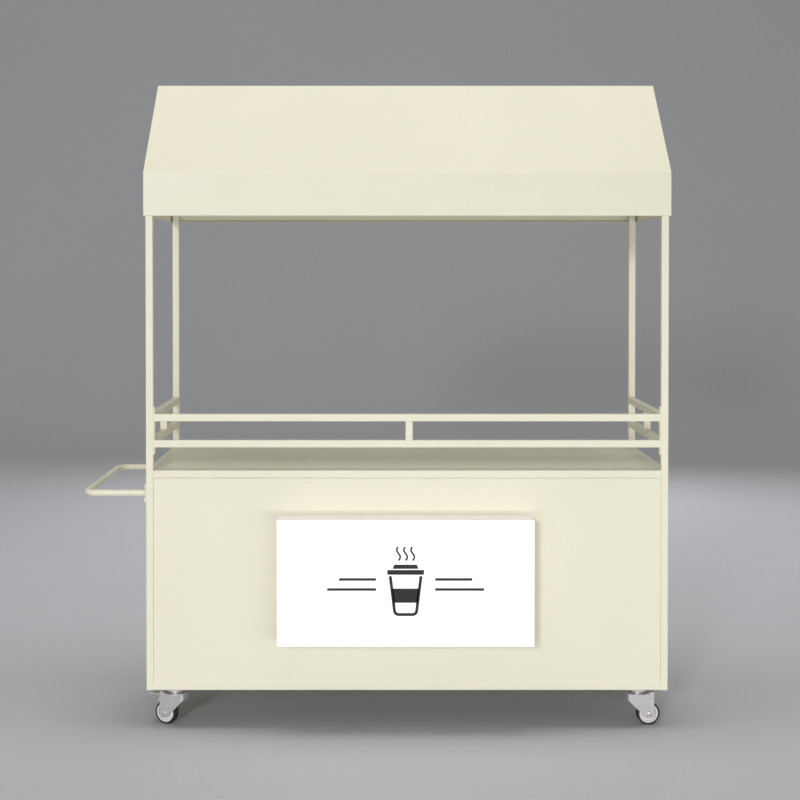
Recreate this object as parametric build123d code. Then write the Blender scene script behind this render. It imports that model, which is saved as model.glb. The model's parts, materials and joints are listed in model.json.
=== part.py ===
"""Push vending cart: tube frame with a gable roof, sheet cabinet, lit sign, push handle and casters.

Millimetres. While building, the cart is centred on X and Y with the floor at Z 0: the serving
side faces -Y, the doors face +Y and the push handle is on the -X end. Everything is moved on
export so that the origin is the bottom centre of the whole object's box.
"""

import os
from math import atan2, cos, tan

from build123d import *

os.makedirs("parts", exist_ok=True)

# ---- overall sizes ----
CART_LENGTH = 1800.0  # along X, over the posts
CART_DEPTH = 700.0  # along Y, over the posts
TUBE = 25.0  # side of every square frame tube
TUBE_WALL = 1.2
COUNTER_HEIGHT = 897.0
COUNTER_SHEET = 1.5
SHEET = 1.0  # panels, doors, deck, shelf and roof
FIT_GAP = 0.5  # between a sheet part and the tube beside it

# ---- roof ----
EAVE_BOTTOM = 1773.0  # lower edge of the fascia
FASCIA_HEIGHT = 150.0
ROOF_RISE = 340.0  # knee to ridge
ROOF_OVERHANG = 6.0
HEM = 20.0  # inward return along the fascia's lower edge

# ---- guard rails above the counter ----
GUARD_UPPER_TOP = 1091.0
GUARD_LOWER_TOP = 1001.0
GUARD_STRUT_X = 7.0
GUSSET_REACH = 25.0  # plate beyond the post and beyond each rail
GUSSET_THICKNESS = 5.0

# ---- cabinet ----
PAN_DEPTH = 12.0  # return flanges of the fixed panels
PANEL_RECESS = 1.0
SHELF_TOP = 520.0
SHELF_LIP = 25.0
ANGLE_LEG = 30.0
ANGLE_WALL = 3.0
CROSS_TUBE_X = 300.0

# ---- doors ----
DOOR_DEPTH = 15.0
DOOR_GAP = 2.0
HINGE_HEIGHT = 60.0
HINGE_LEAF = 22.0
HINGE_THICKNESS = 1.5
HINGE_INSET = 130.0  # door end to hinge centre
KNUCKLE_R = 3.5
HINGE_PIN_R = 2.0
HINGE_CLEARANCE = 0.06
KNUCKLE_GAP = 0.5
PULL_LENGTH = 130.0
PULL_REACH = 30.0
PULL_R = 4.0
PULL_EDGE = 50.0
PULL_HEIGHT = 640.0
CATCH_SIZE = (40.0, 19.0, 15.0)
CATCH_X = 60.0
CATCH_GAP = 0.5

# ---- push handle ----
HANDLE_HEIGHT = 818.0
HANDLE_REACH = 211.0  # post face to the grip's centre line
HANDLE_R = 11.0
HANDLE_WALL = 1.5
HANDLE_BEND = 45.0
FLANGE_THICKNESS = 3.0
FLANGE_HEIGHT = 64.0
BOLT_SPACING = 44.0
BOLT_R = 4.0
BOLT_HOLE_CLEARANCE = 0.2
BOLT_HEAD_AF = 13.0
BOLT_HEAD_H = 5.3
BOLT_REACH = 14.0

# ---- sign lightbox ----
SIGN_WIDTH = 871.0
SIGN_HEIGHT = 429.0
SIGN_DEPTH = 105.0
SIGN_BOTTOM = 313.5
SIGN_X = -7.0
SIGN_WALL = 1.0
SIGN_FACE = 4.0
SIGN_SCREW_R = 2.5
SIGN_SCREW_INSET = 60.0
LED_ROWS = 3
DRIVER_SIZE = (180.0, 28.0, 46.0)

# ---- casters ----
CASTER_INSET_X = 68.0  # floor rail's inner face to the swivel axis
CASTER_INSET_Y = 40.0
CASTER_YAW = {"front_left": -24.0, "front_right": 186.0, "rear_left": 24.0, "rear_right": 160.0}
WHEEL_R = 40.0
WHEEL_WIDTH = 30.0
TREAD = 7.0
TRAIL = 36.0
HUB_R = 12.0
WEB = 9.0
AXLE_R = 4.0
AXLE_HEAD_R = 9.0
AXLE_HEAD_H = 4.0
RUNNING = 0.06  # radial play of a wheel on its axle and of a fork on its kingpin
EAR = 3.0
EAR_GAP = 2.5  # wheel hub end to ear
CROWN_RISE = 35.0  # tread's top to the fork crown's top
SWIVEL_HEIGHT = 18.0  # fork crown's top to the underside of the top plate
CROWN_R = 44.0
FORK_LEAD = 40.0
FRONT_WALL = 24.0
BOSS_R = 18.0
PLATE_X = 96.0
PLATE_Y = 84.0
PLATE_THICKNESS = 4.0
PLATE_HOLES_X = 72.0
PLATE_HOLES_Y = 60.0
CORNER_PLATE = 140.0
CORNER_PLATE_THICKNESS = 5.0
RACE_R = 33.0
RACE_WALL = 5.0
LOWER_RACE_R = 24.0
LOWER_RACE_H = 5.4
BALL_R = 2.5
BALL_PITCH_R = 20.0
BALLS = 16
BALL_PLAY = 0.1
KINGPIN_R = 6.0
KINGPIN_HEAD_R = 11.0
KINGPIN_HEAD_H = 3.0
AXIAL_PLAY = 0.3

# ---- brakes, on the handle end only ----
BRAKE_PIN_R = 3.0
BRAKE_PIN_BACK = 12.0  # axle to the brake pin, along the fork
BRAKE_PIN_RISE = 19.0  # tread's top to the brake pin
PEDAL_LENGTH = 52.0
PEDAL_THICKNESS = 4.0
SHOE_LENGTH = 26.0
SHOE_THICKNESS = 10.0
SHOE_LEAN = 30.0  # degrees the shoe leans back from straight down
BRAKE_TRAVEL = 12.0  # degrees from free to braked
BRAKE_GAP = 0.4  # shoe to tread when the pedal is down

# ---- derived ----
HALF_L = CART_LENGTH / 2
HALF_D = CART_DEPTH / 2
IN_L = HALF_L - TUBE
IN_D = HALF_D - TUBE
CASTER_X = IN_L - CASTER_INSET_X
CASTER_Y = IN_D - CASTER_INSET_Y
FORK_TRAIL = TRAIL + BOSS_R
CROWN_TOP = 2 * WHEEL_R + CROWN_RISE
BRAKE_PIN_X = -TRAIL - BRAKE_PIN_BACK
BRAKE_PIN_Z = 2 * WHEEL_R + BRAKE_PIN_RISE
UNDERSIDE = CROWN_TOP + SWIVEL_HEIGHT + PLATE_THICKNESS  # floor to the bottom of the frame
HINGE_AXIS_OUT = KNUCKLE_R + KNUCKLE_GAP  # hinge axis behind the frame's rear face
ROOF_L = HALF_L + ROOF_OVERHANG
ROOF_D = HALF_D + ROOF_OVERHANG
KNEE = EAVE_BOTTOM + FASCIA_HEIGHT
RIDGE = KNEE + ROOF_RISE
SLOPE = atan2(ROOF_RISE, ROOF_D)
POST_TOP = KNEE - 3.0
COUNTER_RAIL_TOP = COUNTER_HEIGHT - COUNTER_SHEET
COUNTER_RAIL_BOTTOM = COUNTER_RAIL_TOP - TUBE
FLOOR_RAIL_TOP = UNDERSIDE + TUBE
FORK_WIDTH = WHEEL_WIDTH + 2 * (EAR_GAP + EAR)
PULL_OUT = PULL_REACH + PULL_R
SHIFT_X = (HANDLE_REACH + HANDLE_R - ROOF_OVERHANG) / 2
SHIFT_Y = (SIGN_DEPTH - PANEL_RECESS - PULL_OUT) / 2
SHIFT = Location((SHIFT_X, SHIFT_Y, 0))
SIDES = (("left", -1), ("right", 1))


def block(x, y, z):
    """A box from three (low, high) pairs, given in either order."""
    size = [abs(b - a) for a, b in (x, y, z)]
    centre = [(a + b) / 2 for a, b in (x, y, z)]
    return Pos(*centre) * Box(*size)


def tube(x, y, z, along):
    """A square tube filling the three (low, high) pairs, open along one axis."""
    wall = {"X": (0, 1, 1), "Y": (1, 0, 1), "Z": (1, 1, 0)}[along]
    inner = []
    for (a, b), closed in zip((x, y, z), wall):
        low, high = min(a, b), max(a, b)
        inner.append((low + closed * TUBE_WALL, high - closed * TUBE_WALL))
    return block(x, y, z) - block(*inner)


def rod(radius, start, end):
    """A round bar between two points."""
    a, b = Vector(*start), Vector(*end)
    place = Plane(origin=a, z_dir=b - a)
    return place * Cylinder(radius, (b - a).length, align=(Align.CENTER, Align.CENTER, Align.MIN))


def hexagon(across_flats, height):
    """A hexagonal prism standing on the XY plane."""
    return extrude(RegularPolygon(across_flats / 2, 6, major_radius=False), height)


def prism_x(points, x0, x1):
    """A polygon given as (y, z) points, extruded along X."""
    face = Plane(origin=(x0, 0, 0), x_dir=(0, 1, 0), z_dir=(1, 0, 0)) * Polygon(*points, align=None)
    return extrude(face, x1 - x0, dir=(1, 0, 0))


def save(name, *solids):
    """Write one node, moved to the object's frame."""
    export_step(Compound(children=[SHIFT * s for s in solids]), f"parts/{name}.step")


def tray(x, y, z, open_side, depth, sheet):
    """A folded pan: the box given, hollowed by the sheet's thickness and open on one side."""
    spans = [sorted(x), sorted(y), sorted(z)]
    axis = "XYZ".index(open_side[1])
    inner = [(a + sheet, b - sheet) for a, b in spans]
    if open_side[0] == "+":
        inner[axis] = (spans[axis][0] + sheet, spans[axis][1] + depth)
    else:
        inner[axis] = (spans[axis][0] - depth, spans[axis][1] - sheet)
    return block(*spans) - block(*inner)


def post_spans(gap=0.0):
    """X and Y spans of the four corner posts."""
    return [
        ((sx * (IN_L - gap), sx * (HALF_L + gap)), (sy * (IN_D - gap), sy * (HALF_D + gap)))
        for sx in (-1, 1)
        for sy in (-1, 1)
    ]


def ring(z0, z1):
    """Four tubes between the posts, at one height."""
    rails = []
    for s in (-1, 1):
        rails.append(tube((-IN_L, IN_L), (s * IN_D, s * HALF_D), (z0, z1), "X"))
        rails.append(tube((s * IN_L, s * HALF_L), (-IN_D, IN_D), (z0, z1), "Y"))
    return rails


def build_frame():
    """Posts, rails under the deck and the counter, and the plates the casters bolt to."""
    reach = BOLT_R + BOLT_HOLE_CLEARANCE
    posts = []
    for (x, y) in post_spans():
        post = tube(x, y, (UNDERSIDE, POST_TOP), "Z")
        if x[0] < 0:
            for side in (-1, 1):
                z = HANDLE_HEIGHT + side * BOLT_SPACING / 2
                yc = (y[0] + y[1]) / 2
                post -= rod(reach, (-HALF_L - 1, yc, z), (-HALF_L + TUBE / 2, yc, z))
        posts.append(post)
    save("corner_posts", *posts)

    floor_rails = ring(UNDERSIDE, FLOOR_RAIL_TOP)
    for x in (-CROSS_TUBE_X, CROSS_TUBE_X):
        span = (x - TUBE / 2, x + TUBE / 2)
        floor_rails.append(tube(span, (-IN_D, IN_D), (UNDERSIDE, FLOOR_RAIL_TOP), "Y"))
    save("floor_rails", *floor_rails)

    counter_rails = ring(COUNTER_RAIL_BOTTOM, COUNTER_RAIL_TOP)
    middle = (-TUBE / 2, TUBE / 2)
    heights = (COUNTER_RAIL_BOTTOM, COUNTER_RAIL_TOP)
    counter_rails.append(tube(middle, (-IN_D, IN_D), heights, "Y"))
    save("counter_rails", *counter_rails)

    plates = []
    for sx in (-1, 1):
        for sy in (-1, 1):
            plate = block(
                (sx * IN_L, sx * (IN_L - CORNER_PLATE)),
                (sy * IN_D, sy * (IN_D - CORNER_PLATE)),
                (UNDERSIDE, UNDERSIDE + CORNER_PLATE_THICKNESS),
            )
            for x, y in plate_holes(sx, sy):
                plate -= rod(reach, (x, y, UNDERSIDE - 1), (x, y, UNDERSIDE + 20))
            plates.append(plate)
    save("caster_corner_plates", *plates)


def plate_holes(sx, sy):
    """Centres of the four bolt holes over one caster."""
    return [
        (sx * CASTER_X + i * PLATE_HOLES_X / 2, sy * CASTER_Y + j * PLATE_HOLES_Y / 2)
        for i in (-1, 1)
        for j in (-1, 1)
    ]


def guard_gusset(side):
    """The plate inside one front post that carries both rails, rounded out beside each."""
    x = sorted((side * (IN_L - GUSSET_THICKNESS), side * IN_L))
    back = -IN_D + GUSSET_REACH
    bottom, top = GUARD_LOWER_TOP - TUBE - GUSSET_REACH, GUARD_UPPER_TOP + GUSSET_REACH
    low, high = GUARD_LOWER_TOP + GUSSET_REACH, GUARD_UPPER_TOP - TUBE - GUSSET_REACH
    plate = block(x, (-HALF_D, back), (bottom, top))
    plate -= block((x[0] - 1, x[1] + 1), (-IN_D, back + 1), (low, high))
    for z in (bottom, low, high, top):
        plate -= rod(GUSSET_REACH, (x[0] - 1, back, z), (x[1] + 1, back, z))
    return plate


def build_guard():
    """Two rails round three sides above the counter, their short struts and corner gussets."""
    rails = []
    front_l = IN_L - GUSSET_THICKNESS
    for top in (GUARD_LOWER_TOP, GUARD_UPPER_TOP):
        z = (top - TUBE, top)
        rails.append(tube((-front_l, front_l), (-HALF_D, -IN_D), z, "X"))
        for s in (-1, 1):
            rails.append(tube((s * IN_L, s * HALF_L), (-IN_D, IN_D), z, "Y"))
    span = (GUARD_LOWER_TOP, GUARD_UPPER_TOP - TUBE)
    middle = (-TUBE / 2, TUBE / 2)
    front_x = (GUARD_STRUT_X - TUBE / 2, GUARD_STRUT_X + TUBE / 2)
    rails.append(tube(front_x, (-HALF_D, -IN_D), span, "Z"))
    for s in (-1, 1):
        rails.append(tube((s * IN_L, s * HALF_L), middle, span, "Z"))
    save("guard_rails", *rails)
    save("guard_gussets", *[guard_gusset(s) for s in (-1, 1)])


def roof_inner(y):
    """Height of the roof sheet's inner face, a distance y from the ridge."""
    return RIDGE - abs(y) * tan(SLOPE) - SHEET / cos(SLOPE)


def build_roof():
    """Eave ring, rafters, ridge tube, folded cover and two gable ends."""
    save("eave_tubes", *ring(POST_TOP - TUBE, POST_TOP))

    half = TUBE / 2
    drop = TUBE / cos(SLOPE)
    wall = TUBE_WALL / cos(SLOPE)
    foot = (RIDGE - (SHEET + TUBE) / cos(SLOPE) - POST_TOP) / tan(SLOPE)
    rafters = []
    for x in (-(HALF_L - half), 0.0, HALF_L - half):
        for s in (-1, 1):
            outline = [
                (s * half, roof_inner(half)),
                (s * HALF_D, roof_inner(HALF_D)),
                (s * HALF_D, POST_TOP),
                (s * foot, POST_TOP),
                (s * half, roof_inner(half) - drop),
            ]
            bore = [
                (s * half, roof_inner(half) - wall),
                (s * foot, roof_inner(foot) - wall),
                (s * foot, roof_inner(foot) - drop + wall),
                (s * half, roof_inner(half) - drop + wall),
            ]
            rafter = prism_x(outline, x - half, x + half)
            rafters.append(rafter - prism_x(bore, x - half + TUBE_WALL, x + half - TUBE_WALL))
    save("rafters", *rafters)

    ridge_top = roof_inner(half)
    save("ridge_tube", tube((-HALF_L, HALF_L), (-half, half), (ridge_top - TUBE, ridge_top), "X"))

    inner_d = ROOF_D - SHEET
    length = ROOF_L - SHEET
    outer = [
        (-ROOF_D, EAVE_BOTTOM),
        (-ROOF_D, KNEE),
        (0, RIDGE),
        (ROOF_D, KNEE),
        (ROOF_D, EAVE_BOTTOM),
    ]
    inner = [
        (-inner_d, EAVE_BOTTOM - 1),
        (-inner_d, roof_inner(inner_d)),
        (0, roof_inner(0)),
        (inner_d, roof_inner(inner_d)),
        (inner_d, EAVE_BOTTOM - 1),
    ]
    cover = prism_x(outer, -length, length) - prism_x(inner, -length - 1, length + 1)
    for s in (-1, 1):
        hem_y = (s * inner_d, s * (inner_d - HEM))
        hem = block((-length, length), hem_y, (EAVE_BOTTOM, EAVE_BOTTOM + SHEET))
        for x, y in post_spans(FIT_GAP):
            hem -= block(x, y, (EAVE_BOTTOM - 1, EAVE_BOTTOM + 5))
        cover += hem
    save("roof_cover", cover)

    for name, s in SIDES:
        x0, x1 = sorted((s * ROOF_L, s * length))
        save(f"gable_{name}", prism_x(outer, x0, x1))


def build_sheets():
    """Fixed panels, deck, shelf with its angles, and the counter."""
    low, high = FLOOR_RAIL_TOP + FIT_GAP, COUNTER_RAIL_BOTTOM - FIT_GAP
    face = HALF_D - PANEL_RECESS
    half = IN_L - FIT_GAP
    front = tray((-half, half), (-face, -face + PAN_DEPTH), (low, high), "+Y", 1, SHEET)
    for x, z in sign_holes():
        front -= rod(SIGN_SCREW_R, (x, -face - 1, z), (x, -face + SHEET + 1, z))
    save("panel_front", front)
    for name, s in SIDES:
        x = (s * (HALF_L - PANEL_RECESS), s * (HALF_L - PANEL_RECESS - PAN_DEPTH))
        side = tray(x, (-IN_D + FIT_GAP, IN_D - FIT_GAP), (low, high), f"{'+-'[s > 0]}X", 1, SHEET)
        save(f"panel_{name}", side)

    front_y = -face + PAN_DEPTH + 2
    back_y = HALF_D - DOOR_DEPTH - DOOR_GAP
    deck_x = HALF_L - PANEL_RECESS - PAN_DEPTH - 2
    deck = block((-deck_x, deck_x), (front_y, back_y), (FLOOR_RAIL_TOP, FLOOR_RAIL_TOP + SHEET))
    for x, y in post_spans(FIT_GAP):
        deck -= block(x, y, (UNDERSIDE, SHELF_TOP))
    save("floor_deck", deck)

    counter = block((-HALF_L, HALF_L), (-HALF_D, HALF_D), (COUNTER_RAIL_TOP, COUNTER_HEIGHT))
    for x, y in post_spans(FIT_GAP):
        counter -= block(x, y, (SHELF_TOP, RIDGE))
    save("counter_top", counter)

    bottom = SHELF_TOP - SHEET
    angles = []
    for s in (-1, 1):
        upright_x = (s * IN_L, s * (IN_L - ANGLE_WALL))
        upright = block(upright_x, (front_y, back_y), (bottom - ANGLE_LEG, bottom))
        ledge_x = (s * IN_L, s * (IN_L - ANGLE_LEG))
        angles.append(upright + block(ledge_x, (front_y, back_y), (bottom - ANGLE_WALL, bottom)))
    save("shelf_angles", *angles)
    edge = IN_L - FIT_GAP
    shelf = block((-edge, edge), (front_y, back_y), (bottom, SHELF_TOP))
    lip_x = IN_L - ANGLE_LEG - 2
    for y in (front_y, back_y - SHEET):
        shelf += block((-lip_x, lip_x), (y, y + SHEET), (bottom - SHELF_LIP, bottom))
    save("storage_shelf", shelf)


def sign_holes():
    """X and Z of the four screws that hold the sign to the front panel."""
    x = SIGN_WIDTH / 2 - SIGN_SCREW_INSET
    z = SIGN_HEIGHT / 2 - SIGN_SCREW_INSET
    middle = SIGN_BOTTOM + SIGN_HEIGHT / 2
    return [(SIGN_X + i * x, middle + j * z) for i in (-1, 1) for j in (-1, 1)]


def build_sign():
    """The lightbox on the front panel, with its lamps and driver inside."""
    back = -(HALF_D - PANEL_RECESS)
    front = back - SIGN_DEPTH
    x = (SIGN_X - SIGN_WIDTH / 2, SIGN_X + SIGN_WIDTH / 2)
    z = (SIGN_BOTTOM, SIGN_BOTTOM + SIGN_HEIGHT)
    housing = tray(x, (front + SIGN_FACE, back), z, "-Y", 1, SIGN_WALL)
    floor = back - SIGN_WALL
    screws = []
    for sx, sz in sign_holes():
        housing -= rod(SIGN_SCREW_R, (sx, back + 1, sz), (sx, floor - 1, sz))
        screw = rod(SIGN_SCREW_R, (sx, floor, sz), (sx, floor + 12, sz))
        screws.append(screw + rod(SIGN_SCREW_R * 2, (sx, floor - 3, sz), (sx, floor, sz)))
    save("sign_housing", housing)
    save("sign_screws", *screws)
    save("sign_face", block(x, (front, front + SIGN_FACE), z))
    bars = []
    for row in range(LED_ROWS):
        height = z[0] + SIGN_HEIGHT * (row + 0.5) / LED_ROWS + 6
        span = (x[0] + 90, x[1] - 90)
        bars.append(block(span, (floor - 6, floor), (height - 8, height + 8)))
    save("sign_led_bars", *bars)
    size_x, size_y, size_z = DRIVER_SIZE
    driver = block((SIGN_X, SIGN_X + size_x), (floor - size_y, floor), (z[0] + 8, z[0] + 8 + size_z))
    save("sign_driver", driver)


def build_doors():
    """Two door pans with hinges, pulls and magnetic catches."""
    low, high = FLOOR_RAIL_TOP + DOOR_GAP, COUNTER_RAIL_BOTTOM - DOOR_GAP
    axis_x = IN_L - DOOR_GAP / 2
    axis_y = HALF_D + HINGE_AXIS_OUT
    frame_leaves, pins, catches = [], [], []
    for name, s in SIDES:
        x = (s * DOOR_GAP, s * (IN_L - DOOR_GAP))
        save(f"door_{name}", tray(x, (HALF_D - DOOR_DEPTH, HALF_D), (low, high), "-Y", 1, SHEET))
        door_leaves = []
        for centre in (low + HINGE_INSET, high - HINGE_INSET):
            frame_leaf, door_leaf, pin = hinge(s, axis_x, axis_y, centre)
            frame_leaves.append(frame_leaf)
            door_leaves.append(door_leaf)
            pins.append(pin)
        save(f"door_{name}_hinge_leaves", *door_leaves)
        pull_x = s * (DOOR_GAP + PULL_EDGE)
        save(f"door_{name}_pull", pull(pull_x))
        size_x, size_y, size_z = CATCH_SIZE
        face = HALF_D - DOOR_DEPTH - CATCH_GAP
        catches.append(
            block(
                (s * CATCH_X, s * (CATCH_X + size_x)),
                (face - size_y, face),
                (COUNTER_RAIL_BOTTOM - size_z, COUNTER_RAIL_BOTTOM),
            )
        )
    save("hinge_frame_leaves", *frame_leaves)
    save("hinge_pins", *pins)
    save("door_catches", *catches)


def hinge(s, axis_x, axis_y, centre):
    """Frame leaf, door leaf and pin of one butt hinge; s is the door's side."""
    x = s * axis_x
    half = HINGE_HEIGHT / 2
    third = HINGE_HEIGHT / 6
    bore = rod(HINGE_PIN_R + HINGE_CLEARANCE, (x, axis_y, centre - 99), (x, axis_y, centre + 99))
    clear = KNUCKLE_R + KNUCKLE_GAP
    y = (HALF_D, HALF_D + HINGE_THICKNESS)
    slots = (x - clear, x + clear)

    frame_leaf = block((x, x + s * HINGE_LEAF), y, (centre - half, centre + half))
    for a, b in ((-half - 1, -third + KNUCKLE_GAP / 2), (third - KNUCKLE_GAP / 2, half + 1)):
        frame_leaf -= block(slots, (y[0] - 1, axis_y + clear), (centre + a, centre + b))
    middle = (third - KNUCKLE_GAP / 2) * -1, third - KNUCKLE_GAP / 2
    frame_leaf += rod(KNUCKLE_R, (x, axis_y, centre + middle[0]), (x, axis_y, centre + middle[1]))

    door_leaf = block((x, x - s * HINGE_LEAF), y, (centre - half, centre + half))
    span = (centre - third - KNUCKLE_GAP / 2, centre + third + KNUCKLE_GAP / 2)
    door_leaf -= block(slots, (y[0] - 1, axis_y + clear), span)
    for a, b in ((-half, -third - KNUCKLE_GAP / 2), (third + KNUCKLE_GAP / 2, half)):
        door_leaf += rod(KNUCKLE_R, (x, axis_y, centre + a), (x, axis_y, centre + b))

    pin = rod(HINGE_PIN_R, (x, axis_y, centre - half - 2), (x, axis_y, centre + half + 1))
    pin += rod(KNUCKLE_R, (x, axis_y, centre + half + 1), (x, axis_y, centre + half + 3))
    return frame_leaf - bore, door_leaf - bore, pin


def pull(x):
    """A bow handle of round bar on a door's outer face."""
    low, high = PULL_HEIGHT - PULL_LENGTH / 2, PULL_HEIGHT + PULL_LENGTH / 2
    out = HALF_D + PULL_REACH
    body = rod(PULL_R, (x, out, low), (x, out, high))
    for z in (low, high):
        body += rod(PULL_R, (x, HALF_D, z), (x, out, z))
        body += Pos(x, out, z) * Sphere(PULL_R)
    return body


def build_handle():
    """The bent push handle, its flanges and their bolts."""
    root_x = -HALF_L - FLANGE_THICKNESS
    out_x = -HALF_L - HANDLE_REACH
    arm_y = HALF_D - TUBE / 2
    corners = [(root_x, -arm_y), (out_x, -arm_y), (out_x, arm_y), (root_x, arm_y)]
    path = FilletPolyline(*[(x, y, HANDLE_HEIGHT) for x, y in corners], radius=HANDLE_BEND)
    start = Plane(origin=path @ 0, z_dir=path % 0)
    wall = Circle(HANDLE_R) - Circle(HANDLE_R - HANDLE_WALL)
    save("push_handle", sweep(start * wall, path=path))

    flanges, bolts = [], []
    for y in (-arm_y, arm_y):
        flange = block(
            (-HALF_L, root_x),
            (y - TUBE / 2, y + TUBE / 2),
            (HANDLE_HEIGHT - FLANGE_HEIGHT / 2, HANDLE_HEIGHT + FLANGE_HEIGHT / 2),
        )
        for side in (-1, 1):
            z = HANDLE_HEIGHT + side * BOLT_SPACING / 2
            hole = BOLT_R + BOLT_HOLE_CLEARANCE
            flange -= rod(hole, (-HALF_L + 1, y, z), (root_x - 1, y, z))
            head = Plane(origin=(root_x, y, z), z_dir=(-1, 0, 0)) * hexagon(BOLT_HEAD_AF, BOLT_HEAD_H)
            bolts.append(head + rod(BOLT_R, (root_x, y, z), (root_x + BOLT_REACH, y, z)))
        flanges.append(flange)
    save("handle_flanges", *flanges)
    save("handle_bolts", *bolts)


def build_caster_mounts():
    """Top plates with their upper races, kingpins, balls, and the bolts through the frame."""
    top_z = UNDERSIDE - PLATE_THICKNESS
    lower_race = CROWN_TOP + LOWER_RACE_H
    race_z = lower_race + 2 * (BALL_R + BALL_PLAY)
    ball_z = lower_race + BALL_R + BALL_PLAY
    plates, pins, bolts, balls = [], [], [], []
    for sx in (-1, 1):
        for sy in (-1, 1):
            x, y = sx * CASTER_X, sy * CASTER_Y
            plate = block(
                (x - PLATE_X / 2, x + PLATE_X / 2), (y - PLATE_Y / 2, y + PLATE_Y / 2), (top_z, UNDERSIDE)
            )
            plate = fillet(plate.edges().filter_by(Axis.Z), 8)
            cup = rod(RACE_R, (x, y, lower_race - 1), (x, y, top_z))
            cup -= rod(RACE_R - RACE_WALL, (x, y, lower_race - 2), (x, y, race_z))
            plate += chamfer(cup.edges().group_by(Axis.Z)[0].sort_by(SortBy.RADIUS)[-1], 2)
            plate -= rod(KINGPIN_R, (x, y, race_z - 1), (x, y, UNDERSIDE - 1))
            for hx, hy in plate_holes(sx, sy):
                plate -= rod(BOLT_R + BOLT_HOLE_CLEARANCE, (hx, hy, top_z - 1), (hx, hy, UNDERSIDE + 1))
                bolts.append(caster_bolt(hx, hy, top_z))
            plates.append(plate)
            head_top = CROWN_TOP - EAR - AXIAL_PLAY
            pin = rod(KINGPIN_R, (x, y, head_top), (x, y, UNDERSIDE - 1))
            pin += rod(KINGPIN_HEAD_R, (x, y, head_top - KINGPIN_HEAD_H), (x, y, head_top))
            pins.append(pin)
            for ball in PolarLocations(BALL_PITCH_R, BALLS):
                balls.append(Pos(x, y, ball_z) * ball * Sphere(BALL_R))
    save("caster_plates", *plates)
    save("caster_kingpins", *pins)
    save("caster_bolts", *bolts)
    save("caster_balls", *balls)


def caster_bolt(x, y, top_z):
    """A bolt up through a caster plate and corner plate, with its nut, as one fastener."""
    nut_z = UNDERSIDE + CORNER_PLATE_THICKNESS
    head = Pos(x, y, top_z - BOLT_HEAD_H) * hexagon(BOLT_HEAD_AF, BOLT_HEAD_H)
    nut = Pos(x, y, nut_z) * hexagon(BOLT_HEAD_AF, BOLT_HEAD_H + 1)
    return head + nut + rod(BOLT_R, (x, y, top_z), (x, y, nut_z + BOLT_HEAD_H + 3))


def fork(braked):
    """A stamped fork about the swivel axis, leading towards +X."""
    half = FORK_WIDTH / 2
    inner = half - EAR
    crown_low = CROWN_TOP - EAR
    profile = Polygon(
        (FORK_LEAD, CROWN_TOP),
        (FORK_LEAD, CROWN_TOP - FRONT_WALL),
        (FORK_LEAD - 34, CROWN_TOP - FRONT_WALL - 34),
        (-TRAIL + BOSS_R, WHEEL_R),
        (-FORK_TRAIL, WHEEL_R),
        (-FORK_TRAIL, CROWN_TOP),
        align=None,
    )
    profile += Pos(-TRAIL, WHEEL_R) * Circle(BOSS_R)
    body = extrude(Plane.XZ * profile, half, both=True)
    lead_edges = body.edges().filter_by(Axis.Z).sort_by(Axis.X)[-2:]
    body = fillet(lead_edges, 9)
    cavity = block((-99, FORK_LEAD - EAR), (-inner, inner), (-9, crown_low))
    cavity_edges = cavity.edges().filter_by(Axis.Z).sort_by(Axis.X)[-2:]
    body -= fillet(cavity_edges, 6)
    body -= block((-99, -FORK_TRAIL + 20), (-inner, inner), (-9, crown_low))
    body += rod(CROWN_R, (0, 0, crown_low), (0, 0, CROWN_TOP))
    race = rod(LOWER_RACE_R, (0, 0, crown_low), (0, 0, CROWN_TOP + LOWER_RACE_H))
    body += race
    body -= rod(KINGPIN_R + RUNNING, (0, 0, crown_low - 1), (0, 0, CROWN_TOP + 20))
    body -= rod(AXLE_R, (-TRAIL, -half - 1, WHEEL_R), (-TRAIL, half + 1, WHEEL_R))
    if braked:
        body -= rod(BRAKE_PIN_R, (BRAKE_PIN_X, -half - 1, BRAKE_PIN_Z), (BRAKE_PIN_X, half + 1, BRAKE_PIN_Z))
    return body


def axle():
    """A riveted axle across the fork's ears."""
    half = FORK_WIDTH / 2
    shaft = rod(AXLE_R, (-TRAIL, -half, WHEEL_R), (-TRAIL, half, WHEEL_R))
    for s in (-1, 1):
        head = rod(AXLE_HEAD_R, (-TRAIL, s * half, WHEEL_R), (-TRAIL, s * (half + AXLE_HEAD_H), WHEEL_R))
        outer = head.edges().sort_by(Axis.Y)[-1 if s > 0 else 0]
        shaft += chamfer(outer, 2)
    return shaft


def wheel_core():
    """Moulded wheel centre: hub, web and rim."""
    half = WHEEL_WIDTH / 2
    rim_r = WHEEL_R - TREAD
    core = Cylinder(rim_r, WHEEL_WIDTH - 2)
    for s in (-1, 1):
        pocket = Cylinder(rim_r - 5, half) - Cylinder(HUB_R, half)
        core -= Pos(0, 0, s * (WEB + half) / 2) * pocket
    core += Cylinder(HUB_R, WHEEL_WIDTH)
    core -= Cylinder(AXLE_R + RUNNING, WHEEL_WIDTH + 9)
    return Pos(-TRAIL, 0, WHEEL_R) * Rot(90, 0, 0) * core


def wheel_tread():
    """Rubber tyre band on the wheel core."""
    tread = Cylinder(WHEEL_R, WHEEL_WIDTH - 2)
    tread = fillet(tread.edges(), 3)
    tread -= Cylinder(WHEEL_R - TREAD, WHEEL_WIDTH + 9)
    return Pos(-TRAIL, 0, WHEEL_R) * Rot(90, 0, 0) * tread


def brake_pin():
    """Cross pin the brake pedal turns on."""
    half = FORK_WIDTH / 2
    return rod(BRAKE_PIN_R, (BRAKE_PIN_X, -half - 2, BRAKE_PIN_Z), (BRAKE_PIN_X, half + 2, BRAKE_PIN_Z))


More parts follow.
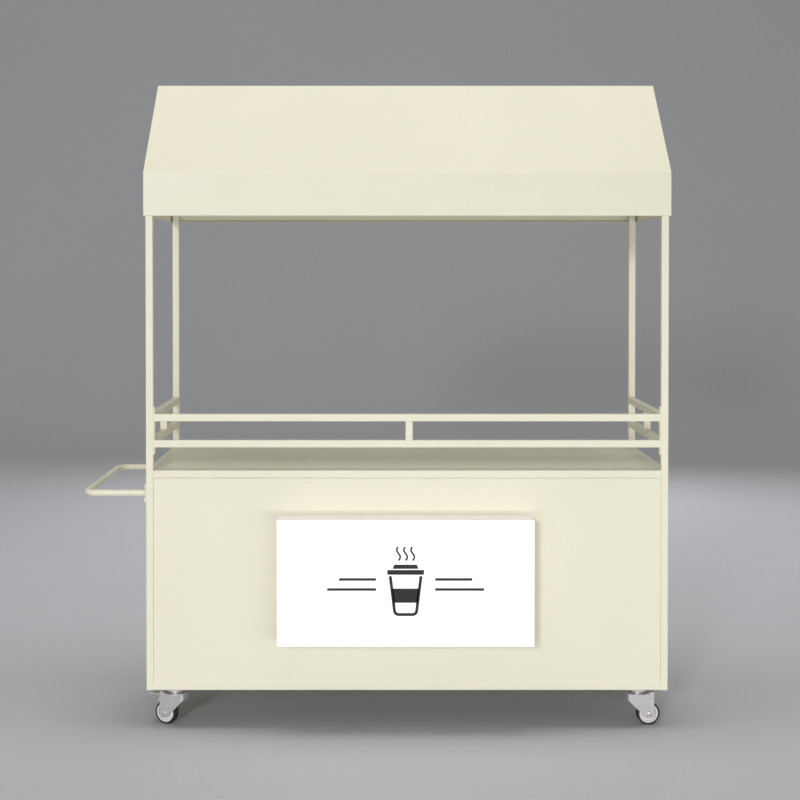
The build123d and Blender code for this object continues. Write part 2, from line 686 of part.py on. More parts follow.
def brake_pedal():
    """Foot pedal with a cam that meets the tread when pressed down."""
    inner = FORK_WIDTH / 2 - EAR - 1
    x0 = BRAKE_PIN_X - PEDAL_LENGTH
    z0 = BRAKE_PIN_Z + 1
    body = block((x0, BRAKE_PIN_X), (-inner, inner), (z0, z0 + PEDAL_THICKNESS))
    body += rod(BRAKE_PIN_R + 3, (BRAKE_PIN_X, -inner, BRAKE_PIN_Z), (BRAKE_PIN_X, inner, BRAKE_PIN_Z))
    half = SHOE_THICKNESS / 2
    pivot = Pos(BRAKE_PIN_X, 0, BRAKE_PIN_Z)
    shoe = block((-half, half), (-inner + 2, inner - 2), (-SHOE_LENGTH, 0))
    body += pivot * Rot(0, SHOE_LEAN, 0) * shoe
    tread = rod(WHEEL_R + BRAKE_GAP, (-TRAIL, -99, WHEEL_R), (-TRAIL, 99, WHEEL_R))
    body -= pivot * Rot(0, BRAKE_TRAVEL, 0) * pivot.inverse() * tread
    return body - rod(BRAKE_PIN_R + RUNNING, (BRAKE_PIN_X, -99, BRAKE_PIN_Z), (BRAKE_PIN_X, 99, BRAKE_PIN_Z))


def build_casters():
    """Fork, axle, wheel and, on the handle end, brake of each caster."""
    for corner, yaw in CASTER_YAW.items():
        sy = -1 if corner.startswith("front") else 1
        sx = -1 if corner.endswith("left") else 1
        place = Pos(sx * CASTER_X, sy * CASTER_Y, 0) * Rot(0, 0, yaw)
        braked = sx < 0
        save(f"caster_{corner}_fork", place * fork(braked))
        save(f"caster_{corner}_axle", place * axle())
        save(f"caster_{corner}_wheel", place * wheel_core())
        save(f"caster_{corner}_tread", place * wheel_tread())
        if braked:
            save(f"caster_{corner}_brake_pin", place * brake_pin())
            save(f"caster_{corner}_brake_pedal", place * brake_pedal())


build_frame()
build_guard()
build_roof()
build_sheets()
build_sign()
build_doors()
build_handle()
build_caster_mounts()
build_casters()
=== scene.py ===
"""Looks of a push vending cart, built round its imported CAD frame.

Metres throughout, in the frame's own axes: +X along the cart away from the push handle, +Y from
the sign side to the door side, +Z up, with the floor at Z 0.
"""

import json
import logging
import math
from collections.abc import Iterable, Sequence
from dataclasses import dataclass, field
from enum import Enum

import bmesh
import bpy
from mathutils import Matrix, Vector

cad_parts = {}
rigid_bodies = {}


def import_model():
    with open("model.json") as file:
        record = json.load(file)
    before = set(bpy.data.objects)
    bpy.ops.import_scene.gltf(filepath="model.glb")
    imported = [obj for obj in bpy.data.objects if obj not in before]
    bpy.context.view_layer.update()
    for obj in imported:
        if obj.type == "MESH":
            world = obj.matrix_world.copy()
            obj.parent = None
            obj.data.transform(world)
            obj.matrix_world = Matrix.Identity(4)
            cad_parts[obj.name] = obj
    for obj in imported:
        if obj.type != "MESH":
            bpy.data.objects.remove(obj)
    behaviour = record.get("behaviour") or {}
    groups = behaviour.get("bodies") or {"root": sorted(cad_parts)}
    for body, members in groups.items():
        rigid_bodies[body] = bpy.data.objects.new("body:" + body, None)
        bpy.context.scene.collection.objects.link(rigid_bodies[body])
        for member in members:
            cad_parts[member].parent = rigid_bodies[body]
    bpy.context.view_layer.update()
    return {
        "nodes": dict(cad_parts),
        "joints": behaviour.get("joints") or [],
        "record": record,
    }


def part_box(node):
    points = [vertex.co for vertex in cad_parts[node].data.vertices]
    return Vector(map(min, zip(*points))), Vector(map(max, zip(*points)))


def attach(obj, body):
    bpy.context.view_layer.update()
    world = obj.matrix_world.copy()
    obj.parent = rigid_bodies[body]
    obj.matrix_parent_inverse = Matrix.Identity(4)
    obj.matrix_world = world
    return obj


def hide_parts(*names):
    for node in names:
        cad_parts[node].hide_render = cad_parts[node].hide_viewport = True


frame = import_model()

log = logging.getLogger("vending_cart")

ROOT = "cart"
WEAR = "edge_wear"
BOLT_FLATS = 0.013
BOLT_HEAD = 0.0053
NUT_HEIGHT = 0.0063
WASHER = 0.0085
Point = tuple[float, float, float]
Flat = tuple[float, float]
Places = Sequence[tuple[Vector, Vector]]
CORNERS = ((-1, -1), (-1, 1), (1, -1), (1, 1))


class Slot(Enum):
    """Material slots of the record."""

    COAT = "powder_coat"
    SIGN_SHELL = "sign_shell"
    ACRYLIC = "sign_acrylic"
    LED = "led_strip"
    DRIVER = "driver_case"
    ZINC = "zinc_steel"
    BRIGHT = "bright_steel"
    WHEEL = "wheel_plastic"
    TREAD = "tread_rubber"
    BLACK = "black_plastic"


class Axis(Enum):
    """Directions a tube can run in, as the index of the axis."""

    X = 0
    Y = 1
    Z = 2


def node_box(node: str) -> tuple[Vector, Vector]:
    """A CAD node's box in frame coordinates.

    Args:
        node: the node.

    Returns:
        Its lowest and highest corners.
    """
    low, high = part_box(node)
    return Vector(low), Vector(high)


# ---------------------------------------------------------------- finishes


class ShaderGraph:
    """A material's node tree with short ways to add to it."""

    def __init__(self, name: str) -> None:
        """Start a material with one Principled shader.

        Args:
            name: the material's name.
        """
        self.material = bpy.data.materials.new(name)
        self.material.use_nodes = True
        self.tree = self.material.node_tree
        self.shader = self.tree.nodes["Principled BSDF"]
        self.place = self.tree.nodes.new("ShaderNodeTexCoord").outputs["Object"]

    def node(self, kind: str, **inputs: object) -> bpy.types.Node:
        """Add a node and fill its inputs.

        Args:
            kind: the node's type name without "ShaderNode".
            inputs: socket names, with spaces as underscores, to a value or an output.

        Returns:
            The new node.
        """
        made = self.tree.nodes.new("ShaderNode" + kind)
        for key, value in inputs.items():
            self.feed(made, key.replace("_", " "), value)
        return made

    def feed(self, node: bpy.types.Node, key: str | int, value: object) -> None:
        """Link an output to a socket, or set the socket's own value.

        Args:
            node: the node that is fed.
            key: the socket's name or index.
            value: an output socket or a plain value.
        """
        if isinstance(value, bpy.types.NodeSocket):
            self.tree.links.new(value, node.inputs[key])
        else:
            node.inputs[key].default_value = value

    def noise(self, scale: float, detail: float = 2.0, rough: float = 0.5) -> bpy.types.NodeSocket:
        """Noise over the piece's own space.

        Args:
            scale: cycles per metre.
            detail: octaves.
            rough: how strong the fine octaves are.

        Returns:
            The factor output.
        """
        made = self.node("TexNoise", Vector=self.place, Scale=scale, Detail=detail, Roughness=rough)
        return made.outputs[0]

    def ramp(self, source: bpy.types.NodeSocket, low: float, high: float, to: Flat) -> bpy.types.NodeSocket:
        """Map a range onto another.

        Args:
            source: the value to map.
            low: its lower end.
            high: its upper end.
            to: the range it is mapped to.

        Returns:
            The mapped value.
        """
        made = self.node("MapRange", Value=source)
        for index, value in ((1, low), (2, high), (3, to[0]), (4, to[1])):
            made.inputs[index].default_value = value
        return made.outputs[0]

    def math(self, kind: str, first: object, second: object) -> bpy.types.NodeSocket:
        """One arithmetic step.

        Args:
            kind: the operation.
            first: the first term, a value or an output.
            second: the second term.

        Returns:
            The result.
        """
        made = self.node("Math")
        made.operation = kind
        self.feed(made, 0, first)
        self.feed(made, 1, second)
        return made.outputs[0]

    def blend(self, factor: object, first: object, second: object) -> bpy.types.NodeSocket:
        """Mix two colours.

        Args:
            factor: share of the second colour.
            first: a colour or an output.
            second: a colour or an output.

        Returns:
            The mixed colour.
        """
        made = self.node("Mix")
        made.data_type = "RGBA"
        self.feed(made, 0, factor)
        self.feed(made, 6, first)
        self.feed(made, 7, second)
        return made.outputs[2]

    def bump(self, layers: Iterable[tuple[bpy.types.NodeSocket, float, float]]) -> None:
        """Chain bump layers into the shader's normal.

        Args:
            layers: for each, a height, its strength and its depth in metres.
        """
        normal = None
        for height, strength, depth in layers:
            made = self.node("Bump", Height=height, Strength=strength, Distance=depth)
            if normal is not None:
                self.feed(made, "Normal", normal)
            normal = made.outputs[0]
        self.feed(self.shader, "Normal", normal)

    def wear(self) -> bpy.types.NodeSocket:
        """Edge wear of the mesh, broken up by noise.

        Returns:
            A value that is 1 on a worn edge.
        """
        edge = self.node("Attribute")
        edge.attribute_name = WEAR
        patches = self.ramp(self.noise(60.0, 3.0, 0.6), 0.42, 0.62, (0.25, 1.0))
        return self.math("MULTIPLY", edge.outputs["Fac"], patches)


def rgba(colour: Sequence[float], factor: float = 1.0) -> tuple[float, float, float, float]:
    """Scale a linear colour and add its alpha.

    Args:
        colour: red, green and blue.
        factor: brightness.

    Returns:
        The colour with alpha 1.
    """
    return (colour[0] * factor, colour[1] * factor, colour[2] * factor, 1.0)


@dataclass(frozen=True)
class PaintFinish:
    """Sprayed or powder-coated sheet metal with a faint orange peel."""

    slot: Slot
    colour: tuple[float, float, float]
    edge: tuple[float, float, float]
    roughness: float = 0.42
    peel: float = 0.10
    sway: float = 0.25

    def make(self) -> bpy.types.Material:
        """Build the material.

        Returns:
            The finished material.
        """
        g = ShaderGraph(self.slot.value)
        clouds = g.ramp(g.noise(2.2, 4.0, 0.55), 0.3, 0.7, (0.0, 1.0))
        body = g.blend(clouds, rgba(self.colour), rgba(self.colour, 0.955))
        speck = g.ramp(g.noise(420.0, 2.0, 0.6), 0.60, 0.75, (0.0, 0.10))
        body = g.blend(speck, body, rgba(self.colour, 0.86))
        scuffs = g.node("TexNoise", Vector=self.streaks(g), Scale=9.0, Detail=5.0, Roughness=0.7)
        rub = g.ramp(scuffs.outputs[0], 0.64, 0.78, (0.0, 0.12))
        body = g.blend(rub, body, rgba(self.colour, 0.88))
        body = g.blend(g.math("MULTIPLY", g.wear(), 0.55), body, rgba(self.edge))
        g.feed(g.shader, "Base Color", body)
        sheen = g.ramp(g.noise(14.0, 4.0, 0.6), 0.3, 0.7, (self.roughness - 0.05, self.roughness + 0.07))
        g.feed(g.shader, "Roughness", g.math("ADD", sheen, g.math("MULTIPLY", rub, 0.8)))
        g.feed(g.shader, "Specular IOR Level", 0.45)
        g.bump(
            [
                (g.noise(1.6, 1.0, 0.4), self.sway, 0.0012),
                (g.noise(330.0, 2.0, 0.5), self.peel, 0.0003),
            ]
        )
        return g.material

    @staticmethod
    def streaks(g: ShaderGraph) -> bpy.types.NodeSocket:
        """Coordinates stretched along Z, for wiping marks.

        Args:
            g: the material's graph.

        Returns:
            The stretched coordinates.
        """
        return g.node("Mapping", Vector=g.place, Scale=(1.0, 1.0, 0.12)).outputs[0]


@dataclass(frozen=True)
class AcrylicFinish:
    """Milky sheet that spreads the light behind it."""

    slot: Slot = Slot.ACRYLIC
    colour: tuple[float, float, float] = (0.93, 0.93, 0.94)
    glow: float = 0.22

    def make(self) -> bpy.types.Material:
        """Build the material.

        Returns:
            The finished material.
        """
        g = ShaderGraph(self.slot.value)
        haze = g.ramp(g.noise(3.0, 3.0, 0.5), 0.3, 0.7, (0.0, 1.0))
        body = g.blend(haze, rgba(self.colour), rgba(self.colour, 0.975))
        body = g.blend(g.math("MULTIPLY", g.wear(), 0.3), body, rgba((0.78, 0.80, 0.82)))
        g.feed(g.shader, "Base Color", body)
        g.feed(g.shader, "Roughness", g.ramp(g.noise(30.0, 3.0, 0.6), 0.3, 0.7, (0.16, 0.26)))
        g.feed(g.shader, "Emission Color", (1.0, 0.99, 0.985, 1.0))
        g.feed(g.shader, "Emission Strength", self.glow)
        g.feed(g.shader, "Coat Weight", 0.3)
        g.feed(g.shader, "Coat Roughness", 0.08)
        g.bump([(g.noise(2.5, 1.0, 0.4), 0.12, 0.0008), (g.noise(900.0, 1.0, 0.5), 0.03, 0.0001)])
        return g.material


@dataclass(frozen=True)
class MetalFinish:
    """Plated, polished or cast metal with fine scratches."""

    slot: Slot
    colour: tuple[float, float, float]
    roughness: float
    mottle: float = 0.12
    scratch: float = 0.12
    grain: tuple[float, float, float] = (1.0, 1.0, 0.2)
    metal: float = 1.0

    def make(self) -> bpy.types.Material:
        """Build the material.

        Returns:
            The finished material.
        """
        g = ShaderGraph(self.slot.value)
        spangle = g.node("TexVoronoi", Vector=g.place, Scale=260.0, Randomness=1.0)
        cells = g.node("SeparateColor", Color=spangle.outputs["Color"]).outputs[0]
        shade = g.blend(cells, rgba(self.colour), rgba(self.colour, 1.0 - self.mottle))
        grime = g.ramp(g.noise(55.0, 5.0, 0.65), 0.52, 0.72, (0.0, 0.35))
        shade = g.blend(grime, shade, rgba(self.colour, 0.62))
        shade = g.blend(g.math("MULTIPLY", g.wear(), 0.6), shade, rgba(self.colour, 1.18))
        g.feed(g.shader, "Base Color", shade)
        g.feed(g.shader, "Metallic", self.metal)
        lines = g.node("Mapping", Vector=g.place, Scale=self.grain).outputs[0]
        hair = g.node("TexNoise", Vector=lines, Scale=900.0, Detail=3.0, Roughness=0.7).outputs[0]
        base = g.ramp(cells, 0.0, 1.0, (self.roughness - 0.04, self.roughness + 0.05))
        rough = g.math("ADD", base, g.math("MULTIPLY", grime, 0.5))
        g.feed(g.shader, "Roughness", rough)
        g.bump([(hair, self.scratch, 0.0001), (g.noise(45.0, 3.0, 0.5), 0.10, 0.0004)])
        return g.material


@dataclass(frozen=True)
class MouldedFinish:
    """Plastic or rubber with moulded grain and dust in it."""

    slot: Slot
    colour: tuple[float, float, float]
    dust: tuple[float, float, float]
    roughness: float = 0.5
    dusting: float = 0.25
    grain: float = 600.0
    depth: float = 0.0002

    def make(self) -> bpy.types.Material:
        """Build the material.

        Returns:
            The finished material.
        """
        g = ShaderGraph(self.slot.value)
        tone = g.blend(g.noise(35.0, 4.0, 0.6), rgba(self.colour, 1.06), rgba(self.colour, 0.90))
        film = g.ramp(g.noise(90.0, 5.0, 0.65), 0.45, 0.70, (0.0, self.dusting))
        tone = g.blend(film, tone, rgba(self.dust))
        tone = g.blend(g.math("MULTIPLY", g.wear(), 0.5), tone, rgba(self.dust))
        g.feed(g.shader, "Base Color", tone)
        g.feed(g.shader, "Roughness", g.math("ADD", g.math("MULTIPLY", film, 0.5), self.roughness))
        g.bump([(g.noise(self.grain, 2.0, 0.6), 0.25, self.depth), (g.noise(40.0, 2.0, 0.5), 0.08, 0.0004)])
        return g.material


@dataclass(frozen=True)
class StripFinish:
    """LED circuit strip: white mask with tinned tracks."""

    slot: Slot = Slot.LED
    colour: tuple[float, float, float] = (0.85, 0.86, 0.84)
    track: tuple[float, float, float] = (0.72, 0.62, 0.32)

    def make(self) -> bpy.types.Material:
        """Build the material.

        Returns:
            The finished material.
        """
        g = ShaderGraph(self.slot.value)
        wave = g.node("TexWave", Vector=g.place, Scale=26.0, Distortion=0.6, Detail=1.0)
        lines = g.ramp(wave.outputs["Fac"], 0.82, 0.9, (0.0, 1.0))
        tone = g.blend(lines, rgba(self.colour), rgba(self.track))
        g.feed(g.shader, "Base Color", g.blend(g.noise(40.0), tone, rgba(self.colour, 0.93)))
        g.feed(g.shader, "Roughness", g.ramp(g.noise(50.0), 0.3, 0.7, (0.35, 0.5)))
        g.bump([(g.noise(500.0), 0.1, 0.0001)])
        return g.material


CREAM = (0.800, 0.775, 0.622)
FINISHES = (
    PaintFinish(Slot.COAT, CREAM, (0.90, 0.88, 0.76)),
    PaintFinish(Slot.SIGN_SHELL, (0.97, 0.95, 0.96), (0.95, 0.94, 0.95), roughness=0.36),
    AcrylicFinish(),
    StripFinish(),
    MetalFinish(Slot.DRIVER, (0.70, 0.71, 0.73), 0.38),
    MetalFinish(Slot.ZINC, (0.86, 0.84, 0.86), 0.34, metal=0.82),
    MetalFinish(Slot.BRIGHT, (0.82, 0.82, 0.83), 0.16, mottle=0.03, scratch=0.06),
    MouldedFinish(Slot.WHEEL, (0.80, 0.78, 0.77), (0.62, 0.59, 0.57), roughness=0.38, dusting=0.25),
    MouldedFinish(Slot.TREAD, (0.018, 0.018, 0.019), (0.10, 0.095, 0.09), roughness=0.62),
    MouldedFinish(Slot.BLACK, (0.011, 0.011, 0.012), (0.04, 0.04, 0.04), roughness=0.5, dusting=0.15),
)


class Palette:
    """All the finishes, made once and looked up by slot."""

    def __init__(self) -> None:
        """Build every finish."""
        self.by_slot = {finish.slot: finish.make() for finish in FINISHES}

    def dress(self, obj: bpy.types.Object, slot: Slot) -> None:
        """Give a whole object one finish.

        Args:
            obj: the object.
            slot: the finish's slot.
        """
        obj.data.materials.clear()
        obj.data.materials.append(self.by_slot[slot])

    def dress_cad(self, node: str, slot: Slot) -> None:
        """Give a CAD node its finish in the slots that it has.

        Args:
            node: the node's name.
            slot: the finish's slot.
        """
        mesh_object = frame["nodes"][node]
        if not mesh_object.material_slots:
            mesh_object.data.materials.append(None)
        for held in mesh_object.material_slots:
            held.material = self.by_slot[slot]


# ---------------------------------------------------------------- mesh making


class Shape:
    """A mesh under construction, with a wear value on each face."""

    def __init__(self) -> None:
        """Start empty."""
        self.bm = bmesh.new()
        self.worn = self.bm.faces.layers.float.new(WEAR)

    def face(self, verts: Sequence[bmesh.types.BMVert], worn: float = 0.0) -> None:
        """Add a face.

        Args:
            verts: its corners in order.
            worn: its wear, 0 to 1.
        """
        self.bm.faces.new(verts)[self.worn] = worn

    def loop(self, points: Iterable[Sequence[float]]) -> list[bmesh.types.BMVert]:
        """Add one vertex per point.

        Args:
            points: the places.

        Returns:
            The new vertices.
        """
        return [self.bm.verts.new(p) for p in points]

    def skin(
        self,
        rings: Sequence[Sequence[bmesh.types.BMVert]],
        worn: Sequence[float] | None = None,
        closed: bool = True,
    ) -> None:
        """Join rings of equal length with quads.

        Args:
            rings: the rings in order.
            worn: a wear value for each step round the ring.
            closed: whether each ring is a closed loop.
        """
        count = len(rings[0])
        for low, high in zip(rings, rings[1:]):
            for i in range(count if closed else count - 1):
                j = (i + 1) % count
                self.face((low[i], low[j], high[j], high[i]), worn[i] if worn else 0.0)

    def bevel(self, edges: Sequence[bmesh.types.BMEdge], radius: float, segments: int = 3) -> None:
        """Round edges and mark the new faces as worn.

        Args:
            edges: the edges to round.
            radius: how far the rounding reaches.
            segments: steps of the rounding.
        """
        made = bmesh.ops.bevel(
            self.bm,
            geom=list(edges),
            offset=radius,
            segments=segments,
            profile=0.5,
            affect="EDGES",
            clamp_overlap=True,
        )
        for face in made["faces"]:
            face[self.worn] = 1.0

    def sharp_edges(self, angle: float = math.radians(35.0)) -> list[bmesh.types.BMEdge]:
        """Edges where the surface turns by more than an angle.

        Args:
            angle: the least turn in radians.

        Returns:
            Those edges.
        """
        return [e for e in self.bm.edges if len(e.link_faces) == 2 and e.calc_face_angle() > angle]

    def block(self, low: Point, high: Point, rounding: float = 0.0, segments: int = 2) -> None:
        """Add a closed block with rounded edges.

        Args:
            low: its lowest corner.
            high: its highest corner.
            rounding: radius of its edges.
            segments: steps of the rounding.
        """
        old = set(self.bm.edges)
        made = bmesh.ops.create_cube(self.bm, size=1.0)
        size = [b - a for a, b in zip(low, high)]
        centre = [(a + b) / 2 for a, b in zip(low, high)]
        turn = Matrix.Translation(centre) @ Matrix.Diagonal((*size, 1.0))
        bmesh.ops.transform(self.bm, matrix=turn, verts=made["verts"])
        if rounding:
            self.bevel([e for e in self.bm.edges if e not in old], rounding, segments)

    def lathe(
        self, profile: Sequence[Flat], place: Matrix, steps: int, worn: Sequence[float] | None = None
    ) -> None:
        """Turn a closed profile round the local Z axis.

        Args:
            profile: (radius, height) points; the last joins the first.
            place: where the local frame lies.
            steps: facets round the axis.
            worn: a wear value for each step along the profile.
        """
        rings = []
        for k in range(steps):
            a = math.tau * k / steps
            rings.append(
                self.loop(place @ Vector((r * math.cos(a), r * math.sin(a), z)) for r, z in profile)
            )
        self.skin([*rings, rings[0]], worn)

    def sweep(self, path: Sequence[Vector], radius: float, steps: int = 24, capped: bool = True) -> None:
        """Run a round section along a path.

        Args:
            path: the centre line's points.
            radius: the section's radius.
            steps: facets round the section.
            capped: whether the ends are closed.
        """
        normal = (path[1] - path[0]).orthogonal().normalized()
        rings = []
        for i, p in enumerate(path):
            ahead = path[min(i + 1, len(path) - 1)] - path[max(i - 1, 0)]
            ahead.normalize()
            normal = (normal - ahead * normal.dot(ahead)).normalized()
            side = ahead.cross(normal)
            spokes = (math.tau * k / steps for k in range(steps))
            rings.append(
                self.loop(
                    p + normal * (radius * math.cos(a)) + side * (radius * math.sin(a)) for a in spokes
                )
            )
        self.skin(rings)
        if capped:
            self.face(list(reversed(rings[0])))
            self.face(rings[-1])

    def finish(self, name: str, smooth: float = 32.0) -> bpy.types.Object:
        """Make the object with outward faces.

        Args:
            name: the object's name.
            smooth: edges flatter than this many degrees are shaded smooth.

        Returns:
            The new object, linked to the scene.
        """
        bmesh.ops.recalc_face_normals(self.bm, faces=self.bm.faces[:])
        mesh = bpy.data.meshes.new(name)
        self.bm.to_mesh(mesh)
        self.bm.free()
        return link(name, mesh, smooth)


def link(name: str, mesh: bpy.types.Mesh, smooth: float = 32.0) -> bpy.types.Object:
    """Put a mesh into the scene under a name.

    Args:
        name: the object's name.
        mesh: its mesh.
        smooth: edges flatter than this many degrees are shaded smooth.

    Returns:
        The new object.
    """
    mesh.shade_smooth()
    mesh.set_sharp_from_angle(angle=math.radians(smooth))
    made = bpy.data.objects.new(name, mesh)
    bpy.context.scene.collection.objects.link(made)
    return made


def arc(centre: Flat, radius: float, start: float, end: float, steps: int) -> list[Flat]:
    """Points along a circular arc.

    Args:
        centre: the arc's centre.
        radius: its radius.
        start: first angle in degrees.
        end: last angle in degrees.
        steps: number of chords.

    Returns:
        The points, both ends included.
    """
    angles = [math.radians(start + (end - start) * k / steps) for k in range(steps + 1)]
    return [(centre[0] + radius * math.cos(a), centre[1] + radius * math.sin(a)) for a in angles]


def rounded_corners(points: Sequence[Flat], radius: float, steps: int = 4) -> list[Flat]:
    """Replace a polyline's inner corners with arcs.

    Args:
        points: the polyline.
        radius: the arcs' radius.
        steps: chords in each arc.

    Returns:
        The new polyline.
    """
    out = [points[0]]
    for before, here, after in zip(points, points[1:], points[2:]):
        corner = Vector(here)
        back = (Vector(before) - corner).normalized()
        ahead = (Vector(after) - corner).normalized()
        half = back.angle(ahead) / 2
        reach = radius / math.tan(half)
        centre = corner + (back + ahead).normalized() * (radius / math.sin(half))
        first = corner + back * reach - centre
        last = corner + ahead * reach - centre
        turn = first.angle_signed(last)
        for k in range(steps + 1):
            spoke = first.copy()
            spoke.rotate(Matrix.Rotation(-turn * k / steps, 2))
            out.append(tuple(centre + spoke))
    out.append(points[-1])
    return out


def offset_line(points: Sequence[Flat], distance: float) -> list[Flat]:
    """A polyline moved sideways, to the left of its direction.

    Args:
        points: the polyline.
        distance: how far it moves.

    Returns:
        The moved polyline.
    """
    out = []
    for i, p in enumerate(points):
        here = Vector(p)
        sides = []
        if i > 0:
            step = (here - Vector(points[i - 1])).normalized()
            sides.append(Vector((-step.y, step.x)))
        if i < len(points) - 1:
            step = (Vector(points[i + 1]) - here).normalized()
            sides.append(Vector((-step.y, step.x)))
        mean = sum(sides, Vector((0.0, 0.0))).normalized()
        out.append(tuple(here + mean * (distance / mean.dot(sides[0]))))
    return out


# ---------------------------------------------------------------- repeated details


class NodeRecipe:
    """A Geometry Nodes tree built in code, run once on a mesh and then thrown away."""

    def __init__(self, name: str) -> None:
        """Start a tree with a geometry input and output.

        Args:
            name: the tree's name.
        """
        self.tree = bpy.data.node_groups.new(name, "GeometryNodeTree")
        face = self.tree.interface
        face.new_socket("Geometry", in_out="INPUT", socket_type="NodeSocketGeometry")
        face.new_socket("Geometry", in_out="OUTPUT", socket_type="NodeSocketGeometry")
        self.entry = self.tree.nodes.new("NodeGroupInput")
        self.exit = self.tree.nodes.new("NodeGroupOutput")
        self.ids: dict[str, str] = {}

    def size(self, name: str, kind: str = "NodeSocketFloat") -> bpy.types.NodeSocket:
        """Add a named input.

        Args:
            name: the input's name.
            kind: its socket type.

        Returns:
            The output of the group input node that carries it.
        """
        socket = self.tree.interface.new_socket(name, in_out="INPUT", socket_type=kind)
        self.ids[name] = socket.identifier
        return next(s for s in self.entry.outputs if s.identifier == socket.identifier)

    def node(self, kind: str, **inputs: object) -> bpy.types.Node:
        """Add a node and fill its inputs.

        Args:
            kind: the node's full type name.
            inputs: socket names, with spaces as underscores, to a value or an output.

        Returns:
            The new node.
        """
        made = self.tree.nodes.new(kind)
        for key, value in inputs.items():
            target = made.inputs[key.replace("_", " ")]
            if isinstance(value, bpy.types.NodeSocket):
                self.tree.links.new(value, target)
            else:
                target.default_value = value
        return made

    def close(self, instances: bpy.types.NodeSocket, material: bpy.types.NodeSocket) -> None:
        """End the tree with real geometry in one finish.

        Args:
            instances: the instances to keep.
            material: the finish.
        """
        real = self.node("GeometryNodeRealizeInstances", Geometry=instances)
        dressed = self.node("GeometryNodeSetMaterial", Geometry=real.outputs[0], Material=material)
        self.tree.links.new(dressed.outputs[0], self.exit.inputs[0])

    def run(self, name: str, base: bpy.types.Mesh, values: dict[str, object]) -> bpy.types.Object:
        """Run the tree on a mesh and keep the result as a plain object.

        Args:
            name: the result's name.
            base: the mesh that the tree reads.
            values: a value for each named input.

        Returns:
            The new object.
        """
        carrier = bpy.data.objects.new(name + "_base", base)
        bpy.context.scene.collection.objects.link(carrier)
        modifier = carrier.modifiers.new("recipe", "NODES")
        modifier.node_group = self.tree
        for key, value in values.items():
            modifier[self.ids[key]] = value
        graph = bpy.context.evaluated_depsgraph_get()
        mesh = bpy.data.meshes.new_from_object(carrier.evaluated_get(graph))
        carrier.modifiers.remove(modifier)
        bpy.data.objects.remove(carrier)
        mesh.name = name
        return link(name, mesh)


def points_mesh(name: str, places: Places) -> bpy.types.Mesh:
    """A mesh of loose points, each with the direction its copy faces.

    Args:
        name: the mesh's name.
        places: a point and a direction for each copy.

    Returns:
        The mesh.
    """
    mesh = bpy.data.meshes.new(name)
    mesh.from_pydata([p for p, _ in places], [], [])
    facing = mesh.attributes.new("facing", "FLOAT_VECTOR", "POINT")
    for item, (_, way) in zip(facing.data, places):
        item.vector = way
    return mesh


class Repeater:
    """Copies one master shape onto points, with its local Z along each point's direction."""

    def __init__(self) -> None:
        """Build the tree."""
        recipe = NodeRecipe("repeat_on_points")
        master = recipe.size("Master", "NodeSocketObject")
        spin = recipe.size("Spin")
        finish = recipe.size("Finish", "NodeSocketMaterial")
        info = recipe.node("GeometryNodeObjectInfo", Object=master)
        way = recipe.node("GeometryNodeInputNamedAttribute", Name="facing")
        way.data_type = "FLOAT_VECTOR"
        vector = next(s for s in way.outputs if s.type == "VECTOR" and s.enabled)
        aim = recipe.node("FunctionNodeAlignRotationToVector", Vector=vector)
        aim.axis = "Z"
        index = recipe.node("GeometryNodeInputIndex").outputs[0]
        turn = recipe.node("ShaderNodeMath")
        turn.operation = "MULTIPLY"
        recipe.tree.links.new(index, turn.inputs[0])
        recipe.tree.links.new(spin, turn.inputs[1])
        upright = (0.0, 0.0, 1.0)
        step = recipe.node("FunctionNodeAxisAngleToRotation", Axis=upright, Angle=turn.outputs[0])
        both = recipe.node(
            "FunctionNodeRotateRotation", Rotation=aim.outputs[0], Rotate_By=step.outputs[0]
        )
        both.rotation_space = "LOCAL"
        copies = recipe.node(
            "GeometryNodeInstanceOnPoints",
            Points=recipe.entry.outputs[0],
            Instance=info.outputs["Geometry"],
            Rotation=both.outputs[0],
        )
        recipe.close(copies.outputs[0], finish)
        self.recipe = recipe

    def run(
        self,
        name: str,
        master: bpy.types.Object,
        places: Places,
        finish: bpy.types.Material,
        spin: float,
    ) -> bpy.types.Object:
        """Copy a master onto places and remove the master.

        Args:
            name: the new object's name.
            master: the shape to copy.
            places: a point and a direction for each copy.
            finish: the copies' material.
            spin: extra turn of each copy after the one before it, in radians.

        Returns:
            The new object.
        """
        values = {"Master": master, "Spin": spin, "Finish": finish}
        made = self.recipe.run(name, points_mesh(name, places), values)
        bpy.data.objects.remove(master)
        return made


